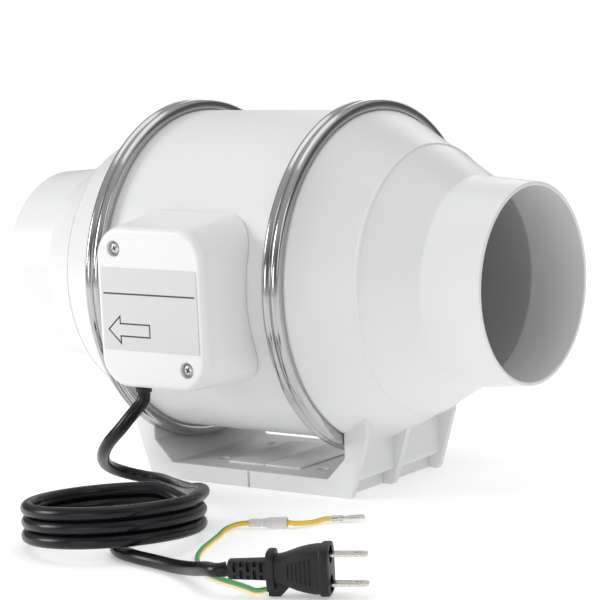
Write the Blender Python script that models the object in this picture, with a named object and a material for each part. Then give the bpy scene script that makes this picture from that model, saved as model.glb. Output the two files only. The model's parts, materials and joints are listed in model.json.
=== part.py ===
"""Inline mixed-flow duct fan for 100 mm duct, as an assembly of its separate pieces.

Frame: +X along the duct towards the inlet, +Z up, -Y the side with the terminal box. The origin is at the
middle of the base's underside. Sizes below are in millimetres and become metres when a mesh is made.
"""

from math import atan2, cos, pi, radians, sin

import bmesh
import bpy
import numpy as np
from mathutils import Matrix, Vector

MM = 0.001
GAP = 0.3  # between pieces that touch

# Duct body
AXIS_HEIGHT = 105.0
SIDES = 40  # facets of every large turned piece, so that nested ones keep their gap
END_X = 148.5  # spigot mouth, from the middle
MOUTH_RADIUS = 49.0
NECK_X = 117.2  # where cone and spigot meet
NECK_RADIUS = 51.5
BEAD_X = 92.1  # fine raised line round the cone
BEAD_RADIUS = 65.8
BODY_RADIUS = 82.5
CONE_START_X = 61.2
WALL = 2.4
FLANGE_RADIUS = 86.0
FLANGE_X = 55.5  # middle of the clamped joint
FLANGE_OUT = 3.1  # half width of both flanges with the gasket between them
GASKET_HALF = 0.6

# Clamp bands
BAND_HALF = 4.9
BAND_RADIUS = 88.5
CLOSURE_FACET = 14  # first facet of the gap in the band, counted from the top towards +Y
EAR_RADIUS = 99.0
BOLT_RING_RADIUS = 93.5

# Base
BASE_HALF_DEPTH = 40.3
PLATE_TOP = 8.7
WALL_FOOT_X = 57.6
ARM_X = 74.3
ARM_KNEE_Z = 31.5
WALL_IN_X = 60.7
WALL_OUT_X = 64.8
MOUNT_HOLE = (31.7, 20.2)
TONGUE = (12.0, 30.0, 4.0)  # length, half depth, height of the lap joint under the seam

# Terminal box
BOX_FACE_Y = -109.5
BOX_MIDDLE_Z = AXIS_HEIGHT - 3.4
COVER_SCREWS = ((-20.9, BOX_MIDDLE_Z + 28.6), (20.9, BOX_MIDDLE_Z - 28.6))
CORD_EXIT = (-19.0, -95.0)

# Motor and rotor
SHAFT_RADIUS = 4.0
MOTOR_SIDES = 20
MOTOR_RADIUS = 32.0
BLADES = 7
VANES = 9

# Cord
CORD = 6.4
WIRE = 2.4
COIL_TURN_RADIUS = 40.0
COIL_FACETS = 32
TOP_TURN_FACETS = 26  # the top turn stops short, where the cord comes down onto the coil
TOP_TURN_START = radians(20)  # direction in plan of the top turn's first end
COIL_MIDDLE = (14.0, -160.0)
COIL_RAISED_SIDE = radians(-43)  # direction in plan of the side that rests on the cord's own tail
PLUG_HEADING = radians(26)
PLUG_START = (122.3, -210.9, 12.0)
BLADE_SPACING = 12.7

for leftover in list(bpy.data.objects):
    bpy.data.objects.remove(leftover, do_unlink=True)


# ---------------------------------------------------------------- making meshes

def material(name, colour, roughness, metallic=0.0):
    made = bpy.data.materials.new(name)
    made.use_nodes = True
    shader = made.node_tree.nodes["Principled BSDF"]
    shader.inputs["Base Color"].default_value = (*colour, 1.0)
    shader.inputs["Roughness"].default_value = roughness
    shader.inputs["Metallic"].default_value = metallic
    return made


WHITE = material("white_plastic", (0.86, 0.86, 0.86), 0.38)
STEEL = material("polished_steel", (0.62, 0.62, 0.61), 0.16, 1.0)
ZINC = material("zinc_plated_steel", (0.55, 0.55, 0.54), 0.35, 1.0)
LAMINATION = material("lamination_steel", (0.30, 0.30, 0.31), 0.45, 1.0)
COPPER = material("winding_copper", (0.60, 0.25, 0.12), 0.4, 1.0)
SEAL = material("seal_rubber", (0.08, 0.08, 0.08), 0.8)
LABEL = material("label_film", (0.72, 0.72, 0.72), 0.5)
BLACK = material("black_pvc", (0.02, 0.02, 0.025), 0.4)
GREEN = material("earth_wire", (0.25, 0.55, 0.18), 0.45)
SLEEVE = material("clear_sleeve", (0.80, 0.79, 0.76), 0.3)
NICKEL = material("nickel_plate", (0.70, 0.68, 0.64), 0.22, 1.0)
BEIGE = material("beige_moulding", (0.70, 0.66, 0.56), 0.5)


def finish(name, shape, paint, angle=30):
    """A bmesh in millimetres becomes a named object in metres."""
    bmesh.ops.remove_doubles(shape, verts=shape.verts, dist=1e-4)
    bmesh.ops.recalc_face_normals(shape, faces=shape.faces)
    bmesh.ops.scale(shape, vec=(MM, MM, MM), verts=shape.verts)
    mesh = bpy.data.meshes.new(name)
    shape.to_mesh(mesh)
    shape.free()
    mesh.shade_smooth()
    mesh.set_sharp_from_angle(angle=radians(angle))
    made = bpy.data.objects.new(name, mesh)
    bpy.context.scene.collection.objects.link(made)
    if paint is not None:
        mesh.materials.append(paint)
    return made


def turned(name, loop, paint=None, sides=SIDES, facets=None, middle=(0.0, 0.0, AXIS_HEIGHT), along="X"):
    """A closed (along, radius) loop spun round an axis; facets below sides leaves a gap and closes its ends."""
    shape = bmesh.new()
    if along == "X":
        corners = [shape.verts.new((x + middle[0], middle[1], middle[2] + r)) for x, r in loop]
        axis = Vector((-1, 0, 0))
    elif along == "Y":
        corners = [shape.verts.new((middle[0], y + middle[1], middle[2] + r)) for y, r in loop]
        axis = Vector((0, 1, 0))
    else:
        corners = [shape.verts.new((middle[0] + r, middle[1], z + middle[2])) for z, r in loop]
        axis = Vector((0, 0, 1))
    whole = facets is None
    if whole:
        edges = [shape.edges.new((a, b)) for a, b in zip(corners, corners[1:] + corners[:1]) if a is not b]
        bmesh.ops.spin(shape, geom=corners + edges, cent=middle, axis=axis, dvec=(0, 0, 0),
                       angle=2 * pi, steps=sides, use_merge=True)
        flat = [f for f in shape.faces if f.calc_area() < 1e-9]
        bmesh.ops.delete(shape, geom=flat, context="FACES")
    else:
        face = shape.faces.new(corners)
        first = shape.faces.new([shape.verts.new(v.co) for v in corners])
        bmesh.ops.spin(shape, geom=[face], cent=middle, axis=axis, dvec=(0, 0, 0),
                       angle=2 * pi * facets / sides, steps=facets)
        first.normal_flip()
    return finish(name, shape, paint)


def prism(name, outline, low, high, along, paint=None):
    """An outline drawn across an axis and pulled along it: XZ outlines for Y, YZ for X, XY for Z."""
    place = {
        "X": lambda a, b, c: (c, a, b),
        "Y": lambda a, b, c: (a, c, b),
        "Z": lambda a, b, c: (a, b, c),
    }[along]
    shape = bmesh.new()
    face = shape.faces.new([shape.verts.new(place(a, b, low)) for a, b in outline])
    pulled = bmesh.ops.extrude_face_region(shape, geom=[face])["geom"]
    moved = [g for g in pulled if isinstance(g, bmesh.types.BMVert)]
    bmesh.ops.translate(shape, verts=moved, vec=Vector(place(0, 0, high - low)))
    return finish(name, shape, paint)


def box(name, low, high, paint=None, bevel=0.0):
    shape = bmesh.new()
    bmesh.ops.create_cube(shape, size=1.0)
    low, high = Vector(low), Vector(high)
    size = high - low
    middle = (high + low) / 2
    place = Matrix.Translation(middle) @ Matrix.Diagonal((*size, 1))
    bmesh.ops.transform(shape, matrix=place, verts=shape.verts)
    if bevel:
        bmesh.ops.bevel(shape, geom=shape.edges[:] + shape.verts[:], offset=bevel, segments=1, affect="EDGES")
    return finish(name, shape, paint)


def rod(name, start, end, radius, paint=None, sides=16, end_radius=None):
    """A straight round bar, or a cone, between two points."""
    start, end = Vector(start), Vector(end)
    line = end - start
    turn = Vector((0, 0, 1)).rotation_difference(line).to_matrix().to_4x4()
    shape = bmesh.new()
    bmesh.ops.create_cone(shape, cap_ends=True, segments=sides, radius1=radius,
                          radius2=radius if end_radius is None else end_radius, depth=line.length)
    bmesh.ops.transform(shape, matrix=Matrix.Translation((start + end) / 2) @ turn, verts=shape.verts)
    return finish(name, shape, paint)


def combine(target, others, operation):
    """Unites, cuts or intersects the target with helper objects, applies the result and removes the helpers."""
    for other in others:
        change = target.modifiers.new(operation.lower(), "BOOLEAN")
        change.operation = operation
        change.solver = "EXACT"
        change.object = other
    bpy.context.view_layer.update()
    seen = target.evaluated_get(bpy.context.evaluated_depsgraph_get())
    mesh = bpy.data.meshes.new_from_object(seen)
    target.modifiers.clear()
    target.data = mesh
    mesh.shade_smooth()
    mesh.set_sharp_from_angle(angle=radians(30))
    for other in others:
        bpy.data.objects.remove(other, do_unlink=True)
    return target


def cut(target, *others):
    return combine(target, others, "DIFFERENCE")


def unite(target, *others):
    return combine(target, others, "UNION")


def mirror_x(points):
    return [(-x, other) for x, other in points]


def arc(middle, radius, start, end, steps):
    """Points on an arc, with angles in degrees."""
    turns = [radians(start + (end - start) * i / steps) for i in range(steps + 1)]
    return [(middle[0] + radius * cos(t), middle[1] + radius * sin(t)) for t in turns]


# ---------------------------------------------------------------- duct body

END_OUTSIDE = [
    (FLANGE_X + GASKET_HALF + GAP, FLANGE_RADIUS),
    (FLANGE_X + FLANGE_OUT, FLANGE_RADIUS),
    (FLANGE_X + FLANGE_OUT, BODY_RADIUS),
    (CONE_START_X, BODY_RADIUS),
    (BEAD_X - 1.4, BEAD_RADIUS + 0.8),
    (BEAD_X - 0.2, BEAD_RADIUS + 0.8),
    (BEAD_X, BEAD_RADIUS),
    (NECK_X - 1.0, NECK_RADIUS + 0.5),
    (NECK_X + 1.5, NECK_RADIUS - 0.1),
    (END_X - 0.4, MOUTH_RADIUS),
    (END_X, MOUTH_RADIUS - 0.4),
]
END_INSIDE = [
    (END_X, MOUTH_RADIUS - WALL + 0.4),
    (END_X - 0.4, MOUTH_RADIUS - WALL),
    (NECK_X, NECK_RADIUS - WALL - 0.3),
    (CONE_START_X, BODY_RADIUS - WALL - 0.4),
    (FLANGE_X + GASKET_HALF + GAP, BODY_RADIUS - WALL - 0.4),
]


def base_half(side, tongue):
    """Half of the bracket under the fan: plate, end wall, three ribs and the lap joint at the seam."""
    wall = [(WALL_IN_X - 11.3, PLATE_TOP), (WALL_IN_X, PLATE_TOP + 11.4), (WALL_IN_X, 52.0), (WALL_OUT_X, 52.0)]
    wall += arc((WALL_OUT_X - 6.0, 13.0), 6.0, 0, -60, 4)
    wall += [(WALL_FOOT_X, 6.6), (WALL_FOOT_X, 0.6), (WALL_FOOT_X - 0.6, 0.0), (GAP / 2, 0.0), (GAP / 2, PLATE_TOP)]
    rib = [(WALL_IN_X - 3.0, 0.0), (WALL_OUT_X - 1.6, 0.0), (WALL_OUT_X - 0.6, 1.4), (ARM_X, ARM_KNEE_Z),
           (ARM_X, 66.0), (WALL_IN_X, 66.0), (WALL_IN_X, 20.0), (WALL_IN_X - 3.0, 15.0)]
    if side < 0:
        wall, rib = mirror_x(wall), mirror_x(rib)
    half = prism("base", wall, -BASE_HALF_DEPTH, BASE_HALF_DEPTH, "Y")
    deep = BASE_HALF_DEPTH
    ribs = [prism("rib", rib, low, high, "Y") for low, high in
            ((-deep, -deep + 3.2), (-4.0, -0.6), (deep - 3.2, deep))]
    raised = box("raised", (side * 0.15, -27.0, PLATE_TOP - 2.0), (side * 23.0, 27.0, PLATE_TOP + 0.8))
    unite(half, *ribs, raised)
    cutters = [rod("clear_of_band", (-WALL_IN_X, 0, AXIS_HEIGHT), (WALL_IN_X, 0, AXIS_HEIGHT),
                   BAND_RADIUS + 0.6, sides=SIDES * 2)]
    for y in (-MOUNT_HOLE[1], MOUNT_HOLE[1]):
        hole = (side * MOUNT_HOLE[0], y)
        cutters.append(rod("hole", (*hole, -5), (*hole, 20), 2.6, sides=12))
    length, half_depth, height = TONGUE
    if tongue:
        lap = box("lap", (-length, -half_depth, 0), (1.0, half_depth, height))
        unite(half, lap)
        for y in (-16.0, 16.0):
            cutters.append(rod("hole", (-length / 2, y, -1), (-length / 2, y, 20), 2.0, sides=12))
            cutters.append(rod("sink", (-length / 2, y, -1), (-length / 2, y, 2.3), 3.6, sides=12))
    else:
        cutters.append(box("lap", (-length - GAP, -half_depth - GAP, -1), (1, half_depth + GAP, height + GAP)))
        for y in (-16.0, 16.0):
            cutters.append(rod("hole", (-length / 2, y, -1), (-length / 2, y, 8.0), 1.7, sides=12))
    cut(half, *cutters)
    pockets = []
    for low, high in ((-36.0, -4.0), (4.0, 36.0)):
        pocket = box("pocket", (16.0, low, -1), (53.0, high, 3.5))
        spot = (MOUNT_HOLE[0], (low + high) / 2)
        boss = rod("boss", (*spot, -2), (*spot, 5), 6.0, sides=12)
        cut(pocket, boss)
        if side < 0:
            pocket.data.transform(Matrix.Diagonal((-1, 1, 1, 1)))
            pocket.data.flip_normals()
        pockets.append(pocket)
    return cut(half, *pockets)


def duct_end(name, side, tongue):
    """One moulding: spigot, cone, clamp flange and half of the base."""
    outside = END_OUTSIDE + [(END_X, 0.0), (FLANGE_X + GASKET_HALF + GAP, 0.0)]
    inside = [(END_X + 5, 0.0), (END_X + 5, END_INSIDE[0][1])] + END_INSIDE
    inside += [(50.0, END_INSIDE[-1][1]), (50.0, 0.0)]
    if side < 0:
        outside, inside = mirror_x(outside), mirror_x(inside)
    solid = turned(name, outside, WHITE)
    unite(solid, base_half(side, tongue))
    return cut(solid, turned("inside", inside))


duct_end("inlet_end", 1, True)
duct_end("outlet_end", -1, False)

CASING_END = FLANGE_X - GASKET_HALF - GAP
casing = turned("motor_casing", [
    (-CASING_END, FLANGE_RADIUS), (-CASING_END, BODY_RADIUS - WALL), (-11.9, BODY_RADIUS - WALL),
    (-11.9, BODY_RADIUS - WALL - 2.4), (-9.5, BODY_RADIUS - WALL - 2.4), (-8.5, BODY_RADIUS - WALL),
    (CASING_END, BODY_RADIUS - WALL), (CASING_END, FLANGE_RADIUS), (FLANGE_X - FLANGE_OUT, FLANGE_RADIUS),
    (FLANGE_X - FLANGE_OUT, BODY_RADIUS), (-FLANGE_X + FLANGE_OUT, BODY_RADIUS),
    (-FLANGE_X + FLANGE_OUT, FLANGE_RADIUS)], WHITE)
cut(casing, rod("wire_entry", (0, -90, BOX_MIDDLE_Z - 12), (0, -60, BOX_MIDDLE_Z - 12), 5.0, sides=12))

for name, side in (("inlet", 1), ("outlet", -1)):
    turned(f"{name}_gasket", [(side * (FLANGE_X - GASKET_HALF), 80.6), (side * (FLANGE_X - GASKET_HALF), 85.6),
                              (side * (FLANGE_X + GASKET_HALF), 85.6), (side * (FLANGE_X + GASKET_HALF), 80.6)], SEAL)


# ---------------------------------------------------------------- clamp bands

def around(angle, radius, x, along=0.0):
    """A point at an angle from the top towards +Y, moved by a distance along the tangent there."""
    return (x, radius * sin(angle) + along * cos(angle), AXIS_HEIGHT + radius * cos(angle) - along * sin(angle))


def clamp_band(name, side):
    """A channel-section ring, open at its closure, with an ear on each end."""
    half = BAND_HALF
    section = [(-half, 83.3), (-half, 87.2), (-2.9, BAND_RADIUS), (2.9, BAND_RADIUS), (half, 87.2), (half, 83.3),
               (4.0, 83.3), (4.0, 86.4), (-4.0, 86.4), (-4.0, 83.3)]
    section = [(x + side * FLANGE_X, r) for x, r in section]
    ring = turned(name, section, STEEL, facets=SIDES - 1)
    first = 2 * pi * (CLOSURE_FACET + 1) / SIDES
    ring.data.transform(Matrix.Translation((0, 0, AXIS_HEIGHT * MM)) @ Matrix.Rotation(-first, 4, "X")
                        @ Matrix.Translation((0, 0, -AXIS_HEIGHT * MM)))
    ears = []
    for end in (-1, 1):
        angle = 2 * pi * (CLOSURE_FACET + 0.5 + end * 0.5) / SIDES
        shape = bmesh.new()
        corners = []
        for radius, x in ((87.0, -4.9), (EAR_RADIUS - 2, -4.9), (EAR_RADIUS, -3.0), (EAR_RADIUS, 3.0),
                          (EAR_RADIUS - 2, 4.9), (87.0, 4.9)):
            corners.append(shape.verts.new(around(angle, radius, side * FLANGE_X + x)))
        face = shape.faces.new(corners)
        pulled = bmesh.ops.extrude_face_region(shape, geom=[face])["geom"]
        inward = Vector(around(angle, 0, 0, -end * 2.4)) - Vector(around(angle, 0, 0))
        bmesh.ops.translate(shape, verts=[g for g in pulled if isinstance(g, bmesh.types.BMVert)], vec=-inward)
        bmesh.ops.translate(shape, verts=shape.verts, vec=inward * 0.9)
        ears.append(finish("ear", shape, None))
    unite(ring, *ears)
    return ring


def clamp_screw(name, side):
    """Makes the bolt through both ears and its nut, and returns the cutter for the ears' holes."""
    middle = 2 * pi * (CLOSURE_FACET + 0.5) / SIDES
    x = side * FLANGE_X

    def at(along):
        return around(middle, BOLT_RING_RADIUS, x, along)

    bolt = rod(f"{name}_clamp_bolt", at(-12.0), at(14.5), 1.9, ZINC, sides=12)
    unite(bolt, rod("head", at(-12.4), at(-8.8), 3.8, sides=6))
    nut = rod(f"{name}_clamp_nut", at(8.8), at(12.0), 3.9, ZINC, sides=6)
    cut(nut, rod("bore", at(5.0), at(20.0), 2.2, sides=12))
    return rod("bore", at(-25.0), at(25.0), 2.3, sides=12)


for name, side in (("inlet", 1), ("outlet", -1)):
    band = clamp_band(f"{name}_clamp_band", side)
    cut(band, clamp_screw(name, side))

for number, y in enumerate((-16.0, 16.0), 1):
    x = -TONGUE[0] / 2
    screw = rod(f"base_screw_{number}", (x, y, 0.5), (x, y, 7.6), 1.4, ZINC, sides=10)
    unite(screw, rod("head", (x, y, 0.4), (x, y, 2.0), 3.2, sides=12))


# ---------------------------------------------------------------- guide vanes and motor

turned("inlet_nozzle", [(60.4, 79.3), (57.0, 79.3), (57.0, 77.2), (53.8, 70.0), (49.6, 63.8), (49.6, 61.8),
                        (51.0, 61.8), (55.4, 66.8), (58.6, 73.0), (60.4, 77.4)], WHITE)


def blade(x_start, x_end, root, tip, turn, lean, thick, start_angle):
    """A curved blade: stations along X, each with a root and a tip edge, turned by an eased angle."""
    stations = 6
    shape = bmesh.new()
    rows = []
    for i in range(stations):
        s = i / (stations - 1)
        x = x_start + (x_end - x_start) * s
        row = []
        for radius, extra in ((root(s), 0.0), (tip(s), lean)):
            for way in (-0.5, 0.5):
                angle = start_angle + turn(s) + extra + way * thick(s) / radius
                row.append(shape.verts.new((x, radius * sin(angle), AXIS_HEIGHT + radius * cos(angle))))
        rows.append(row)
    order = (0, 2, 3, 1)
    for a, b in zip(rows, rows[1:]):
        for i in range(4):
            j, k = order[i], order[(i + 1) % 4]
            shape.faces.new((a[j], a[k], b[k], b[j]))
    shape.faces.new([rows[0][i] for i in order])
    shape.faces.new([rows[-1][i] for i in reversed(order)])
    bmesh.ops.triangulate(shape, faces=shape.faces)
    return finish("blade", shape, None)


hub_cup = turned("guide_vane_unit", [(4.0, 36.0), (-43.2, 36.0), (-43.2, 14.0), (-40.4, 14.0), (-40.4, 33.0),
                                     (4.0, 33.0)], WHITE)
vane_ring = turned("vane_ring", [(-45.5, 79.7), (-12.3, 79.7), (-12.3, 77.6), (-45.5, 77.6)])
vanes = [blade(-14.0, -42.0, lambda s: 35.2, lambda s: 78.3, lambda s: -radians(26) * (1 - s) ** 2, 0.0,
               lambda s: 2.0, 2 * pi * (i + 0.57) / VANES) for i in range(VANES)]
unite(hub_cup, vane_ring, *vanes)
for i in range(3):
    angle = 2 * pi * i / 3
    spot = (24.0 * sin(angle), AXIS_HEIGHT + 24.0 * cos(angle))
    cut(hub_cup, rod("hole", (-50, *spot), (-39, *spot), 1.9, sides=10))
    screw = rod(f"motor_screw_{i + 1}", (-44.5, *spot), (-38.3, *spot), 1.5, ZINC, sides=10)
    unite(screw, rod("head", (-45.4, *spot), (-43.5, *spot), 3.0, sides=12))

turned("tail_cone", [(-43.6, 36.0), (-52.0, 34.4), (-60.0, 30.0), (-67.5, 22.5), (-72.5, 12.5), (-74.5, 0.0),
                     (-72.3, 0.0), (-70.5, 11.6), (-65.9, 20.8), (-59.0, 27.8), (-51.6, 32.0), (-43.6, 33.6)],
       WHITE, 24)

shell = turned("motor_shell", [(6.0, MOTOR_RADIUS), (-40.1, MOTOR_RADIUS), (-40.1, 7.0), (-38.4, 7.0),
                               (-38.4, 11.4), (-31.0, 11.4), (-31.0, 14.0), (-36.6, 14.0), (-36.6, 30.0),
                               (6.0, 30.0)], ZINC, MOTOR_SIDES)
for i in range(3):
    angle = 2 * pi * i / 3
    spot = (24.0 * sin(angle), AXIS_HEIGHT + 24.0 * cos(angle))
    cut(shell, rod("hole", (-45, *spot), (-35, *spot), 1.9, sides=10))
turned("motor_end_shield", [(6.3, MOTOR_RADIUS), (9.3, MOTOR_RADIUS), (10.4, 14.0), (16.6, 14.0), (16.6, 7.0),
                            (15.3, 7.0), (15.3, 11.4), (6.3, 11.4)], ZINC, MOTOR_SIDES)
for name, low in (("bearing_rear", -38.0), ("bearing_front", 8.0)):
    turned(name, [(low, 4.3), (low, 11.1), (low + 7, 11.1), (low + 7, 4.3)], STEEL, MOTOR_SIDES)

stator = turned("stator_core", [(-22.0, 17.6), (-22.0, 29.6), (0.0, 29.6), (0.0, 17.6)], LAMINATION, MOTOR_SIDES)
slots = []
for i in range(12):
    slot = box("slot", (-30, -1.6, AXIS_HEIGHT + 16.0), (10, 1.6, AXIS_HEIGHT + 25.0))
    slot.data.transform(Matrix.Translation((0, 0, AXIS_HEIGHT * MM)) @ Matrix.Rotation(2 * pi * i / 12, 4, "X")
                        @ Matrix.Translation((0, 0, -AXIS_HEIGHT * MM)))
    slots.append(slot)
cut(stator, *slots)
turned("winding_front", [(0.3, 19.0), (0.3, 27.5), (3.5, 28.2), (5.7, 26.0), (5.7, 20.5), (3.5, 18.6)],
       COPPER, MOTOR_SIDES)
turned("winding_rear", [(-22.3, 19.0), (-25.5, 18.6), (-28.5, 20.5), (-28.5, 26.0), (-25.5, 28.2), (-22.3, 27.5)],
       COPPER, MOTOR_SIDES)

turned("rotor_core", [(-25.0, 9.0), (-25.0, 15.6), (-22.0, 15.6), (-22.0, 17.0), (0.0, 17.0), (0.0, 15.6),
                      (3.0, 15.6), (3.0, 9.0), (0.6, 9.0), (0.6, SHAFT_RADIUS + GAP),
                      (-22.6, SHAFT_RADIUS + GAP), (-22.6, 9.0)], LAMINATION, MOTOR_SIDES)
turned("motor_shaft", [(-37.6, 0.0), (-38.0, 3.4), (-37.2, SHAFT_RADIUS), (45.6, SHAFT_RADIUS), (46.0, 3.0),
                       (53.0, 3.0), (53.6, 2.4), (53.6, 0.0)], STEEL, MOTOR_SIDES)


# ---------------------------------------------------------------- impeller

impeller = turned("impeller", [(46.0, 4.3), (46.0, 14.0), (44.6, 18.5), (40.0, 22.5), (26.0, 29.8), (8.0, 38.5),
                               (8.0, 36.0), (25.0, 27.3), (38.0, 20.0), (38.0, 9.5), (19.0, 9.5), (19.0, 4.3)],
                  WHITE)
blades = [blade(44.0, 9.5, lambda s: 18.4 + 18.4 * s, lambda s: 60.0 + 16.0 * s, lambda s: radians(54) * s,
                radians(-6), lambda s: 1.4 + 0.9 * sin(pi * s), 2 * pi * i / BLADES) for i in range(BLADES)]
unite(impeller, *blades)
nut = rod("impeller_nut", (46.4, 0, AXIS_HEIGHT), (51.6, 0, AXIS_HEIGHT), 6.6, ZINC, sides=6)
unite(nut, rod("washer_face", (46.4, 0, AXIS_HEIGHT), (47.6, 0, AXIS_HEIGHT), 8.0, sides=18))
cut(nut, rod("bore", (40, 0, AXIS_HEIGHT), (60, 0, AXIS_HEIGHT), 3.3, sides=18))


# ---------------------------------------------------------------- terminal box

def rounded(half_x, half_z, radius, middle_z, steps=4):
    points = []
    for sx, sz, start in ((1, 1, 0), (-1, 1, 90), (-1, -1, 180), (1, -1, 270)):
        points += arc((sx * (half_x - radius), middle_z + sz * (half_z - radius)), radius, start, start + 90, steps)
    return points


def loft(name, rings, paint=None):
    """Rounded rectangles at several depths, joined and capped."""
    shape = bmesh.new()
    rows = [[shape.verts.new((x, y, z)) for x, z in rounded(*size)] for y, size in rings]
    for a, b in zip(rows, rows[1:]):
        for i in range(len(a)):
            j = (i + 1) % len(a)
            shape.faces.new((a[i], a[j], b[j], b[i]))
    shape.faces.new(rows[0])
    shape.faces.new(list(reversed(rows[-1])))
    return finish(name, shape, paint)


def box_rings(inset, face_y):
    """The cover's outline at each depth, or its inside when inset by the wall."""
    z = BOX_MIDDLE_Z
    return [
        (-60.0, (40.6 - inset, 42.6 - inset, 18.0 - inset, z + 1.9)),
        (-80.0, (38.6 - inset, 41.0 - inset, 17.5 - inset, z + 1.0)),
        (-95.0, (35.6 - inset, 39.9 - inset, 16.5 - inset, z + 0.4)),
        (face_y + 4.0, (33.0 - inset, 39.3 - inset, 15.5 - inset, z)),
        (face_y + 1.3, (32.2 - inset, 38.6 - inset, 15.0 - inset, z)),
        (face_y, (30.3 - inset, 36.8 - inset, 13.5 - inset, z)),
    ]


def aligned_casing_cutter(radius):
    """The casing's own facets, so that a piece on it keeps an even gap."""
    return turned("casing_space", [(-90, 0.0), (-90, radius), (90, radius), (90, 0.0)])


cover = loft("terminal_cover", box_rings(0.0, BOX_FACE_Y), WHITE)
hollow = loft("hollow", box_rings(2.2, BOX_FACE_Y + 2.2))
bosses = [rod("boss", (x, -104.0, z), (x, -115.0, z), 6.0, sides=16) for x, z in COVER_SCREWS]
cut(hollow, *bosses)
cut(cover, aligned_casing_cutter(BODY_RADIUS + GAP), hollow)
for x, z in COVER_SCREWS:
    cut(cover, rod("recess", (x, BOX_FACE_Y + 3.4, z), (x, -115.0, z), 3.9, sides=16),
        rod("hole", (x, -100.0, z), (x, -115.0, z), 1.9, sides=10))
exit_x, exit_y = CORD_EXIT
cut(cover, rod("cord_hole", (exit_x, exit_y, 50), (exit_x, exit_y, 75), 5.3, sides=16))

for name, (x, z) in zip(("cover_screw_upper", "cover_screw_lower"), COVER_SCREWS):
    screw = rod(name, (x, -94.0, z), (x, -106.6, z), 1.5, ZINC, sides=10)
    unite(screw, rod("head", (x, BOX_FACE_Y + 3.1, z), (x, BOX_FACE_Y + 0.9, z), 3.2, sides=16, end_radius=2.6))

box("rating_label", (-29.6, BOX_FACE_Y - 0.35, BOX_MIDDLE_Z - 20.8), (29.6, BOX_FACE_Y - 0.1, BOX_MIDDLE_Z + 19.3),
    LABEL)

saddle = box("terminal_box_base", (-29.0, -88.0, BOX_MIDDLE_Z - 31.0), (29.0, -60.0, BOX_MIDDLE_Z + 34.0), WHITE)
posts = [rod("post", (x, -80.0, z), (x, -103.6, z), 4.2, sides=12) for x, z in COVER_SCREWS]
unite(saddle, *posts)
cut(saddle, aligned_casing_cutter(BODY_RADIUS + GAP),
    rod("wires", (0, -95, BOX_MIDDLE_Z - 12), (0, -60, BOX_MIDDLE_Z - 12), 5.0, sides=12),
    *[rod("hole", (x, -92.0, z), (x, -110.0, z), 1.8, sides=10) for x, z in COVER_SCREWS])

block = box("terminal_block", (-14.0, -99.0, BOX_MIDDLE_Z + 1.0), (14.0, -88.3, BOX_MIDDLE_Z + 14.0), BEIGE, 0.6)
cut(block, *[rod("well", (x, -93.0, BOX_MIDDLE_Z + 7.5), (x, -105.0, BOX_MIDDLE_Z + 7.5), 2.6, sides=10)
             for x in (-8.5, 0.0, 8.5)])
for number, x in enumerate((-8.5, 0.0, 8.5), 1):
    rod(f"terminal_screw_{number}", (x, -93.3, BOX_MIDDLE_Z + 7.5), (x, -96.5, BOX_MIDDLE_Z + 7.5), 2.2, NICKEL,
        sides=10)
box("run_capacitor", (-4.0, -102.0, BOX_MIDDLE_Z - 30.0), (12.5, -88.3, BOX_MIDDLE_Z - 18.5), BEIGE, 1.2)
box("cord_clamp", (exit_x - 9.5, -101.4, BOX_MIDDLE_Z - 16.0), (exit_x + 9.5, -98.6, BOX_MIDDLE_Z - 10.0), BEIGE, 0.5)
for number, x in enumerate((exit_x - 6.6, exit_x + 6.6), 1):
    rod(f"clamp_screw_{number}", (x, -101.7, BOX_MIDDLE_Z - 13.0), (x, -103.4, BOX_MIDDLE_Z - 13.0), 2.0, ZINC,
        sides=10)


# ---------------------------------------------------------------- cord, plug and earth lead

def smooth_route(points, spacing):
    """Points at an even spacing on a Catmull-Rom curve through the route's own points."""
    route = [Vector(p) for p in points]
    route = [2 * route[0] - route[1]] + route + [2 * route[-1] - route[-2]]
    fine = []
    for a, b, c, d in zip(route, route[1:], route[2:], route[3:]):
        for i in range(24):
            t = i / 24
            fine.append(0.5 * (2 * b + (c - a) * t + (2 * a - 5 * b + 4 * c - d) * t * t
                               + (3 * b - a - 3 * c + d) * t ** 3))
    fine.append(route[-2])
    along = np.concatenate([[0.0], np.cumsum([(b - a).length for a, b in zip(fine, fine[1:])])])
    wanted = np.linspace(0.0, along[-1], max(2, round(along[-1] / spacing)) + 1)
    return [tuple(np.interp(wanted, along, [p[k] for p in fine])[i] for k in range(3)) for i in range(len(wanted))]


def tube(name, points, diameter, paint, spacing, sides=2):
    curve = bpy.data.curves.new(name, "CURVE")
    curve.dimensions = "3D"
    curve.bevel_depth = diameter / 2 * MM
    curve.bevel_resolution = sides
    curve.use_fill_caps = True
    line = curve.splines.new("POLY")
    route = smooth_route(points, spacing)
    first, second = Vector(points[0]), Vector(points[1])
    last, before = Vector(points[-1]), Vector(points[-2])
    route.insert(1, tuple(first + (second - first).normalized() * 1.5))
    route.insert(-1, tuple(last + (before - last).normalized() * 1.5))
    line.points.add(len(route) - 1)
    for spot, place in zip(line.points, route):
        spot.co = (place[0] * MM, place[1] * MM, place[2] * MM, 1.0)
    made = bpy.data.objects.new(name, curve)
    curve.materials.append(paint)
    bpy.context.scene.collection.objects.link(made)
    return made


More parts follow.
